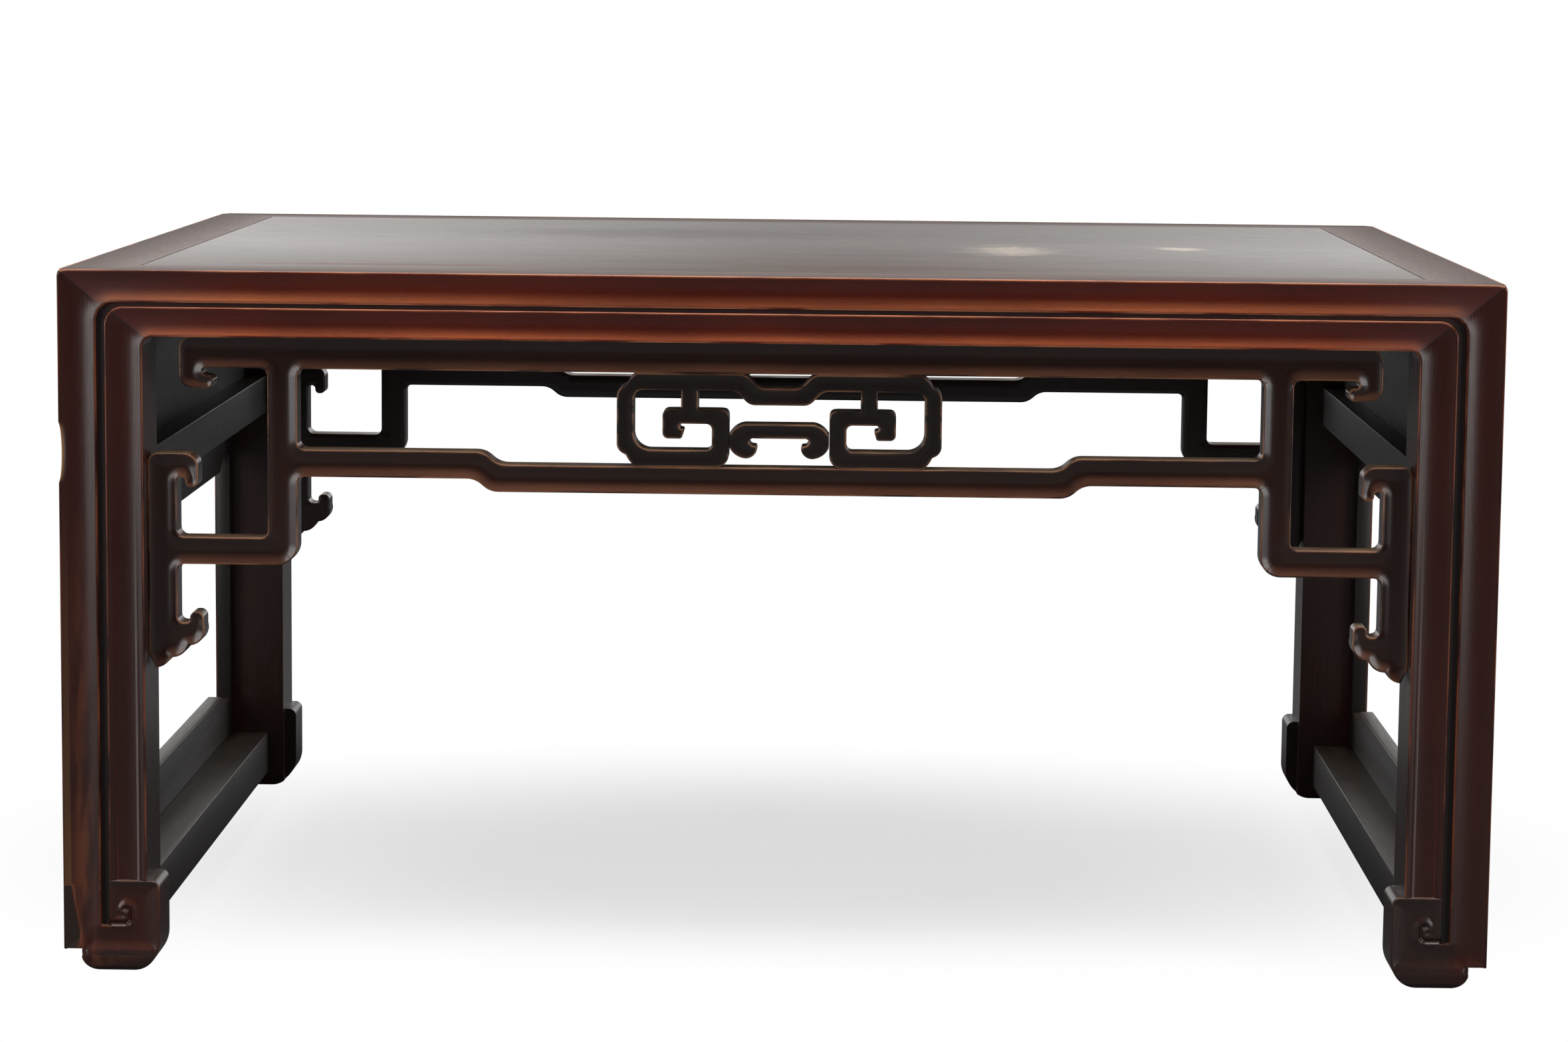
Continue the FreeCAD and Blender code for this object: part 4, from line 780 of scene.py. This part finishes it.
        # Painted shade: points on the floor and walls of the groove between the two mouldings are marked for
        # darkening.
        least, most = self.groove_walls
        dirt = ((back_y > least) & (back_y < most) & ~on_x) | ((back_x > least) & (back_x < most) & ~on_y)
        for axis, mask, u in ((1, on_y, back_x), (0, on_x, back_y)):
            depth, near = self.depth(u, v)
            if with_foot and axis == 1:
                foot_depth, foot_near = self.foot(u, at[:, 2])
                depth, near = np.where(low, foot_depth, depth), np.where(low, foot_near, near)
            elif with_foot:
                end = at[:, 2] - self.band_end
                depth, near = depth + rounded(end, self.bead), np.minimum(near, end)
            take = mask & ~(on_x & on_y)
            moved[take, axis] -= np.sign(at[take, axis]) * depth[take]
            worn[mask] = np.maximum(worn[mask], wear_by(near[mask], self.edge_wear))
            seam[mask] = np.maximum(seam[mask], self.seams(u, v)[mask])
        both = on_x & on_y
        short = np.maximum(self.bead * (1 - math.sqrt(0.5)), rounded(v, self.bead))
        for axis in (0, 1):
            moved[both, axis] -= np.sign(at[both, axis]) * short[both]
        move_points(piece, self.round_corners(moved))
        if with_foot:
            share = np.clip((back_x - self.foot_dark_from) / self.foot_dark_blend, 0, 1)
            mark(piece, "patch", np.where(low, self.foot_dark * share, 0))
            worn = np.where(on_y & (at[:, 2] < self.foot_wear_top), self.foot_wear * worn, worn)
        mark(piece, "worn", worn)
        mark(piece, "seam", seam)
        mark(piece, "dirt", dirt.astype(float))


MOULDINGS = Mouldings()
MOULDED_DEPTH = 1.75


def flatten(piece: bpy.types.Object, sides: str, above: float = 0.0) -> None:
    """Presses the moulded faces of a blank back to their planes, ready to be carved anew.

    Args:
        piece: the blank.
        sides: which faces, X, Y or both.
        above: the height under which nothing changes.
    """
    at = points(piece)
    for axis, name, half in ((0, "X", HALF_LENGTH), (1, "Y", HALF_DEPTH)):
        if name in sides:
            skin = (half - np.abs(at[:, axis]) < MOULDED_DEPTH) & (at[:, 2] > above)
            at[skin, axis] = np.sign(at[skin, axis]) * half
    move_points(piece, at)
    weld(piece)


def outer_skin(axis: int, half: float) -> Callable[[bmesh.types.BMFace], bool]:
    """The test for faces on either outer plane of the table across one axis."""
    return lambda face: all(half - abs(v.co[axis] / MM) < ON_PLANE for v in face.verts)


def at_depth(plane: float) -> Callable[[bmesh.types.BMFace], bool]:
    """The test for faces on one upright plane, by its place along Y."""
    return lambda face: all(abs(v.co.y / MM - plane) < ON_PLANE for v in face.verts)


def band_lines(bead: float, start: float, end: float, pitch: float) -> list[float]:
    """Places across one moulding: close at its rounded edges, even between them."""
    steps = [bead * s for s in BEAD_STEPS]
    middle = spaced(start + bead, end - bead, pitch)[1:-1]
    return [start + s for s in steps] + middle + [end - s for s in steps]


@dataclass
class Frame:
    """The rails of the top, the aprons under them and the legs."""

    corner_reach: float = 58.0
    pitch: float = 0.75
    groove_pitch: float = 0.5
    foot_pitch: float = 0.55
    foot_from: float = 11.0
    dull: float = 0.5
    dull_from: float = 110.0
    dull_blend: float = 80.0
    scroll_box: tuple[float, float, float, float] = (22.0, 2.3, 20.0, 50.0)
    chip_height: float = 310.0
    chip_reach: float = 17.0
    chip_depth: float = 2.2

    def across(self) -> list[float]:
        """Places from the end of a side across a leg and the turn of the mouldings."""
        m = MOULDINGS
        lines = band_lines(m.bead, 0, m.outer_u, self.pitch)
        lines += spaced(m.outer_u + 0.01, m.inner_u - 0.1, self.groove_pitch)
        lines += band_lines(m.bead, m.inner_u, m.end_u, self.pitch)
        lines += spaced(self.corner_reach + 4, 114, 8)
        return lines + spaced(m.end_u + 1, self.corner_reach, self.pitch)

    def down(self) -> list[float]:
        """Places below the top across the two mouldings and their turn."""
        m = MOULDINGS
        lines = band_lines(m.bead, 0, m.outer_v, self.pitch)
        lines += spaced(m.outer_v + 0.1, m.inner_v - 0.1, 0.9 * self.groove_pitch)
        lines += band_lines(m.bead, m.inner_v, m.end_v, self.pitch)
        return lines + spaced(m.end_v + 1, self.corner_reach, self.pitch)

    def bar(self, node: bpy.types.Object, name: str, long: bool) -> bpy.types.Object:
        """Shapes one rail or apron.

        Args:
            node: its CAD node.
            name: the piece's name.
            long: whether it is on a long side.

        Returns:
            The carved piece.
        """
        piece = blank(node, name)
        flatten(piece, "Y" if long else "X")
        side, half = (1, HALF_DEPTH) if long else (0, HALF_LENGTH)
        run, reach = (0, HALF_LENGTH) if long else (1, HALF_DEPTH)
        ends = [sign * (reach - u) for sign in (-1, 1) for u in self.across()]
        levels = [TOP - v for v in self.down() if v < MOULDINGS.end_v]
        score(piece, {run: ends, 2: levels}, outer_skin(side, half))
        score(piece, {side: [sign * (half - BEHIND_ARRIS) for sign in (-1, 1)]})
        MOULDINGS.carve(piece)
        # Darker and rougher towards both ends of the bar, laid into the attribute of the painted groove shade.
        outward = np.abs(points(piece)[:, run]) - (reach - self.dull_from)
        dull = self.dull * np.clip(outward / self.dull_blend, 0, 1)
        mark(piece, "dirt", np.maximum(read(piece, "dirt"), dull))
        return piece

    def leg(self, node: bpy.types.Object, name: str) -> bpy.types.Object:
        """Shapes the front left leg with its foot, once the plain scroll of its blank is filled."""
        piece = blank(node, name)
        flatten(piece, "XY", 13.0)
        m = MOULDINGS
        at = points(piece)
        u, w, z = HALF_LENGTH + at[:, 0], HALF_DEPTH + at[:, 1], at[:, 2]
        least_u, most_w, least_z, most_z = self.scroll_box
        at[(w < most_w) & (z > least_z) & (z < most_z) & (u > least_u), 1] = -HALF_DEPTH
        move_points(piece, at)
        weld(piece)
        foot = spaced(self.foot_from, m.foot_top - 1.2, self.foot_pitch)
        foot += [m.foot_top - s for s in EDGE_STEPS] + [m.foot_top, m.foot_top + 0.3]
        chipped = spaced(self.chip_height - 20, self.chip_height + 20, 2.0)
        levels = [TOP - v for v in self.down()] + foot + chipped
        front = spaced(m.end_u + 0.6, m.foot_reach - 1.2, 0.6) + [m.foot_reach - s for s in EDGE_STEPS]
        edge = [u for u in self.across() if u < m.end_u]
        score(piece, {0: [u - HALF_LENGTH for u in edge + front], 2: levels}, outer_skin(1, HALF_DEPTH))
        low = [m.band_end + s for s in (0.14, 0.41, 0.84, m.bead)]
        levels = [TOP - v for v in self.down()] + low + chipped
        score(piece, {1: [u - HALF_DEPTH for u in edge], 2: levels}, outer_skin(0, HALF_LENGTH))
        score(piece, {0: [BEHIND_ARRIS - HALF_LENGTH], 1: [BEHIND_ARRIS - HALF_DEPTH]})
        MOULDINGS.carve(piece, with_foot=True)
        return piece

    def age(self, leg: bpy.types.Object) -> None:
        """Gives the front left leg its chipped arris, its patch of other wood and its bare strip."""
        at = points(leg)
        u, w, z = HALF_LENGTH + at[:, 0], HALF_DEPTH + at[:, 1], at[:, 2]
        arris = np.hypot(u, w)
        along = np.sqrt(np.clip(1 - ((z - self.chip_height) / self.chip_reach) ** 2, 0, 1))
        at[:, 0] += self.chip_depth * along * np.clip(1 - arris / 5, 0, 1)
        move_points(leg, at)
        edge = np.interp(z, [14.5, 15, 21, 33, 44, 52.5], [7.0, 7.5, 9.5, 8.0, 6.0, 4.8])
        patch_top = 52.5
        beside = (z > 14) & (z < patch_top + 1) & (w < 14)
        patch = np.clip(0.5 + (edge - u) / 0.6, 0, 1)
        mark(leg, "patch", np.where(beside & (z < patch_top), patch, read(leg, "patch")))
        strip = (z > patch_top) & (z < 74) & (u > 0.6) & (u < 5) & (w < 4)
        chip = 0.55 * along * np.clip(1.5 - arris / 1.8, 0, 1)
        mark(leg, "bare", np.maximum(chip, np.where(strip, 0.1, 0)))
        line = np.where(beside, np.exp(-(((u - edge - 0.6) / 0.8) ** 2)), 0)
        rubbed = 0.5 * np.clip((125 - z) / 70, 0, 1) * np.exp(-(((u - 12) / 6) ** 2)) * (w < 4)
        mark(leg, "worn", np.maximum(read(leg, "worn"), np.maximum(line, rubbed)))

    def build(self, nodes: dict[str, bpy.types.Object]) -> None:
        """Builds and dresses the rails, aprons and legs."""
        for kind, finish, slot in (("top_rail", RAIL_WOOD, Slot.TOP), ("apron", APRON_WOOD, Slot.FRAME)):
            for first, second, long in (("front", "back", True), ("left", "right", False)):
                grain = Grain.LENGTH if long else Grain.DEPTH
                node = "%s_%s" % (kind, first)
                piece = self.bar(nodes[node], "carved_" + node, long)
                other = "%s_%s" % (kind, second)
                copy = twin(piece, "carved_" + other, HALF_TURN)
                finish_piece(piece, finish, grain, node)
                finish_piece(copy, finish, grain, other)
        first = self.leg(nodes["leg_front_left"], "carved_leg_front_left")
        copies = [
            (twin(first, "carved_leg_front_right", ACROSS), "leg_front_right"),
            (twin(first, "carved_leg_back_left", HALF_TURN @ ACROSS), "leg_back_left"),
            (twin(first, "carved_leg_back_right", HALF_TURN), "leg_back_right"),
        ]
        self.age(first)
        for piece, node in [(first, "leg_front_left")] + copies:
            low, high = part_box(node)
            mine = points(piece).mean(0)
            if mine[0] * (low.x + high.x) < 0 or mine[1] * (low.y + high.y) < 0:
                raise ValueError("%s is at another corner than its node" % piece.name)
            finish_piece(piece, LEG_WOOD, Grain.HEIGHT, node)


class Top:
    """The floating panel and the battens under it."""

    def build(self, nodes: dict[str, bpy.types.Object]) -> None:
        """Builds and dresses the panel and the battens."""
        panel = blank(nodes["top_panel"], "polished_top_panel")
        soften(panel, 0.35, 2)
        finish_piece(panel, PANEL_WOOD, Grain.LENGTH, "top_panel")
        for node in ("batten_left", "batten_right"):
            piece = blank(nodes[node], "planed_" + node)
            soften(piece, 0.6, 2)
            finish_piece(piece, SIDE_WOOD, Grain.DEPTH, node)


class Sides:
    """The framed short sides: boards, rails, floor stretchers and the inner frames."""

    def build(self, nodes: dict[str, bpy.types.Object]) -> None:
        """Builds and dresses the pieces of both short sides."""
        for end in ("left", "right"):
            for kind, grain, width, segments in (
                ("side_panel", Grain.DEPTH, 0.3, 3),
                ("side_rail", Grain.DEPTH, 6.0, 6),
                ("floor_stretcher", Grain.DEPTH, 2.0, 3),
                ("lining_top", Grain.DEPTH, 1.0, 3),
                ("lining_bottom", Grain.DEPTH, 1.0, 3),
                ("lining_front", Grain.HEIGHT, 1.0, 3),
                ("lining_back", Grain.HEIGHT, 1.0, 3),
            ):
                node = "%s_%s" % (kind, end)
                piece = blank(nodes[node], "planed_" + node)
                soften(piece, width, segments)
                finish_piece(piece, SIDE_WOOD, grain, node)


@dataclass
class Fretwork:
    """The openwork under the long aprons, hollowed on its outer face and shaped at the front first."""

    face: float = 304.5
    rear: float = 285.5
    bead: float = 1.1
    hollow: float = 2.2
    centre_hollow: float = 0.7
    half_bar: float = 8.0
    pitch: float = 1.3
    rear_pitch: float = 5.0
    joint_gap: float = 0.62
    seam_width: float = 0.35
    edge_wear: float = 1.35

    def outlines(self, nodes: list[bpy.types.Object]) -> tuple[np.ndarray, np.ndarray]:
        """Finds the free edges and the joints of a group of plates, seen from the front.

        Args:
            nodes: the CAD nodes of the group.

        Returns:
            The free edges and the joints, as rows of x, z, x, z.
        """
        groups = []
        for node in nodes:
            at = np.round(points(node), 3)
            seen: dict[tuple, int] = {}
            for face in node.data.polygons:
                corners = [at[i] for i in face.vertices]
                if all(abs(c[1] + self.face) < ON_PLANE for c in corners):
                    ring = [(c[0], c[2]) for c in corners]
                    for a, b in zip(ring, ring[1:] + ring[:1]):
                        key = (min(a, b), max(a, b))
                        seen[key] = seen.get(key, 0) + 1
            groups.append(np.array([(*a, *b) for (a, b), count in seen.items() if count == 1]))
        free, joints = [], []
        for index, rows in enumerate(groups):
            others = np.concatenate([g for i, g in enumerate(groups) if i != index])
            middle_x, middle_z = (rows[:, 0] + rows[:, 2]) / 2, (rows[:, 1] + rows[:, 3]) / 2
            gap = segment_distance(middle_x, middle_z, others)
            free.append(rows[gap >= self.joint_gap])
            joints.append(rows[gap < self.joint_gap])
        return np.concatenate(free), np.concatenate(joints)

    def plate(
        self, node: bpy.types.Object, name: str, free: np.ndarray, joints: np.ndarray, hollow: float
    ) -> bpy.types.Object:
        """Carves one plate of the fretwork.

        Args:
            node: its CAD node.
            name: the piece's name.
            free: the free edges of its group.
            joints: the joints of its group.
            hollow: how deep its face is hollowed.

        Returns:
            The carved piece.
        """
        piece = blank(node, name)
        for plane in (-self.face, -self.rear):
            with editing(piece):
                pick_faces(piece, at_depth(plane))
                steps = [self.bead * s for s in BEAD_STEPS]
                for first, second in zip([0.0] + steps, steps):
                    bpy.ops.mesh.inset(thickness=(second - first) * MM, use_even_offset=True)
        at = points(piece)
        low, high = at.min(0), at.max(0)
        for plane, pitch in ((-self.face, self.pitch), (-self.rear, self.rear_pitch)):
            lines = {axis: spaced(low[axis], high[axis], pitch)[1:-1] for axis in (0, 2)}
            score(piece, lines, at_depth(plane))
        score(piece, {1: [BEHIND_ARRIS - self.face, -BEHIND_ARRIS - self.rear]})
        at = points(piece)
        on_face = np.abs(at[:, 1] + self.face) < ON_PLANE
        on_rear = np.abs(at[:, 1] + self.rear) < ON_PLANE
        near = segment_distance(at[:, 0], at[:, 2], free)
        share = (self.half_bar - np.minimum(near, self.half_bar)) / self.half_bar
        edge = rounded(near, self.bead)
        depth = edge + hollow * (1 - share * share)
        gap = segment_distance(at[:, 0], at[:, 2], joints)
        mark(piece, "worn", np.where(on_face, wear_by(near, self.edge_wear), 0))
        mark(piece, "seam", np.where(on_face, np.clip(1 - gap / self.seam_width, 0, 1), 0))
        at[on_face, 1] += depth[on_face]
        at[on_rear, 1] -= edge[on_rear]
        move_points(piece, at)
        return piece

    def build(self, nodes: dict[str, bpy.types.Object]) -> None:
        """Builds and dresses the fretwork of both long sides."""
        posts, pieces, bars = (
            ["fret_%s_%s" % (kind, end) for end in ("left", "right")] for kind in ("post", "side_piece", "side_bar")
        )
        frame = ["fret_top_bar", *posts, "fret_lower_bar", *bars, *pieces]
        centre = ["ornament_top", "ornament_scroll_left", "ornament_scroll_right", "ornament_bridge"]
        groups = ((frame, self.hollow, FRET_WOOD), (centre, self.centre_hollow, ORNAMENT_WOOD))
        for group, hollow, finish in groups:
            free, joints = self.outlines([nodes["front_" + n] for n in group])
            for kind in group:
                grain = Grain.HEIGHT if kind in posts + pieces else Grain.LENGTH
                piece = self.plate(nodes["front_" + kind], "carved_front_" + kind, free, joints, hollow)
                copy = twin(piece, "carved_back_" + kind, HALF_TURN)
                finish_piece(piece, finish, grain, "front_" + kind)
                finish_piece(copy, finish, grain, "back_" + kind)
        for side in ("front", "back"):
            node = side + "_fret_keys"
            keys = blank(nodes[node], "planed_" + node)
            soften(keys, 0.4, 1)
            finish_piece(keys, FRET_WOOD, Grain.HEIGHT, node)


@dataclass
class Studio:
    """The pale floor, the soft lamps and the camera."""

    lens: float = 95.79
    place: tuple[float, float, float] = (0.04296, -2.73049, 0.57621)
    turn: tuple[float, float, float] = (1.446436, -0.010139, 0.017577)
    shadow_place: float = 0.05
    shadow_reach: tuple[float, float] = (0.68, 0.46)

    def floor(self) -> None:
        """Lays a white paper floor that keeps the table's soft shadow and is plain white far off."""
        bpy.ops.mesh.primitive_circle_add(vertices=96, radius=14.0, fill_type="NGON", location=(0, 0, 0))
        floor = bpy.context.active_object
        floor.name = "paper_floor"
        with editing(floor):
            bpy.ops.mesh.select_all(action="SELECT")
            bpy.ops.mesh.inset(thickness=11.0)
        material = bpy.data.materials.new("white_paper")
        material.use_nodes = True
        tree = material.node_tree
        tree.nodes.clear()
        place = add_node(tree, "ShaderNodeTexCoord").outputs["Object"]
        wide, deep = self.shadow_reach
        middle = (0, -self.shadow_place / deep, 0)
        shape = {"Vector": place, "Location": middle, "Scale": (1 / wide, 1 / deep, 0)}
        oval = add_node(tree, "ShaderNodeMapping", shape).outputs[0]
        away = add_node(tree, "ShaderNodeVectorMath", {0: oval}, operation="LENGTH").outputs["Value"]
        near = map_range(tree, away, 0.25, 1.0, 0.36, 0.0)
        seen = seen_directly(tree, add_node(tree, "ShaderNodeLightPath").outputs)
        lit = add_node(tree, "ShaderNodeBsdfDiffuse", {"Color": (0.9, 0.9, 0.9, 1)}).outputs[0]
        white = add_node(tree, "ShaderNodeEmission", {"Color": (1, 1, 1, 1), "Strength": 1.0}).outputs[0]
        dim = add_node(tree, "ShaderNodeBsdfDiffuse", {"Color": (0.18, 0.18, 0.18, 1)}).outputs[0]
        paper = add_node(tree, "ShaderNodeMixShader", {0: near, 1: white, 2: lit}).outputs[0]
        both = add_node(tree, "ShaderNodeMixShader", {0: seen, 1: dim, 2: paper}).outputs[0]
        add_node(tree, "ShaderNodeOutputMaterial", {0: both})
        floor.data.materials.append(material)

    def world(self) -> None:
        """Sets a white room behind the table and a dim one for plain light."""
        world = bpy.data.worlds.new("white_room")
        bpy.context.scene.world = world
        world.use_nodes = True
        tree = world.node_tree
        tree.nodes.clear()
        ray = add_node(tree, "ShaderNodeLightPath").outputs
        way = add_node(tree, "ShaderNodeTexCoord").outputs["Generated"]
        parts = add_node(tree, "ShaderNodeSeparateXYZ", {0: way}).outputs
        behind = map_range(tree, parts["Y"], -0.1, 0.55, 0.05, 0.7)
        wide = map_range(tree, maths(tree, parts["X"], 0.0, "ABSOLUTE"), 0.02, 0.17, 0.75, 1.7, soft=False)
        room, shine, white = (
            add_node(tree, "ShaderNodeBackground", {"Color": (1, 1, 1, 1), "Strength": strength}).outputs[0]
            for strength in (0.2, maths(tree, behind, wide), 1.0)
        )
        gloss = {0: ray["Is Glossy Ray"], 1: room, 2: shine}
        first = add_node(tree, "ShaderNodeMixShader", gloss).outputs[0]
        split = {0: seen_directly(tree, ray), 1: first, 2: white}
        both = add_node(tree, "ShaderNodeMixShader", split).outputs[0]
        add_node(tree, "ShaderNodeOutputWorld", {0: both})

    def lamp(self, name: str, place: tuple, aim: tuple, size: tuple, level: float) -> None:
        """Hangs one soft box.

        Args:
            name: its name.
            place: where it hangs, in metres.
            aim: the point it faces.
            size: its width and height, in metres.
            level: the brightness of its face, 1 for white.
        """
        lamp = bpy.data.lights.new(name, "AREA")
        lamp.shape = "RECTANGLE"
        lamp.size, lamp.size_y = size
        lamp.energy = level * math.pi * size[0] * size[1]
        holder = bpy.data.objects.new(name, lamp)
        bpy.context.scene.collection.objects.link(holder)
        away = Matrix.Translation(place).to_translation() - Matrix.Translation(aim).to_translation()
        holder.matrix_world = Matrix.Translation(place) @ away.to_track_quat("Z", "Y").to_matrix().to_4x4()
        holder.visible_camera = False

    def camera(self) -> None:
        """Sets the camera where the photograph was taken from."""
        camera = bpy.data.cameras.new("camera")
        camera.lens = self.lens
        camera.sensor_width = 36.0
        camera.clip_end = 60.0
        holder = bpy.data.objects.new("camera", camera)
        bpy.context.scene.collection.objects.link(holder)
        holder.location = self.place
        holder.rotation_euler = self.turn
        bpy.context.scene.camera = holder

    def build(self) -> None:
        """Sets up the studio."""
        bpy.context.scene.view_settings.view_transform = "Standard"
        self.camera()
        self.floor()
        self.world()
        front, rear = (0, -0.2, 0.25), (0, 0.2, 0.25)
        self.lamp("left_soft_box", (-2.1, -2.2, 0.9), front, (1.2, 1.9), 4.6)
        self.lamp("right_soft_box", (2.15, -2.15, 0.9), front, (1.2, 1.9), 4.6)
        self.lamp("left_rear_soft_box", (-2.2, 2.3, 1.1), rear, (1.2, 1.4), 2.4)
        self.lamp("right_rear_soft_box", (2.2, 2.3, 1.1), rear, (1.2, 1.4), 2.4)
        self.lamp("overhead_soft_box", (0, -0.75, 2.5), (0, -0.3, 0.3), (2.6, 1.3), 7.0)


def main() -> None:
    """Loads the frame and builds every sub-assembly and the studio."""
    logging.basicConfig(level=logging.INFO, format="%(name)s: %(message)s")
    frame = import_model()
    nodes = frame["nodes"]
    Top().build(nodes)
    Frame().build(nodes)
    Sides().build(nodes)
    Fretwork().build(nodes)
    Studio().build()


if __name__ == "__main__":
    main()
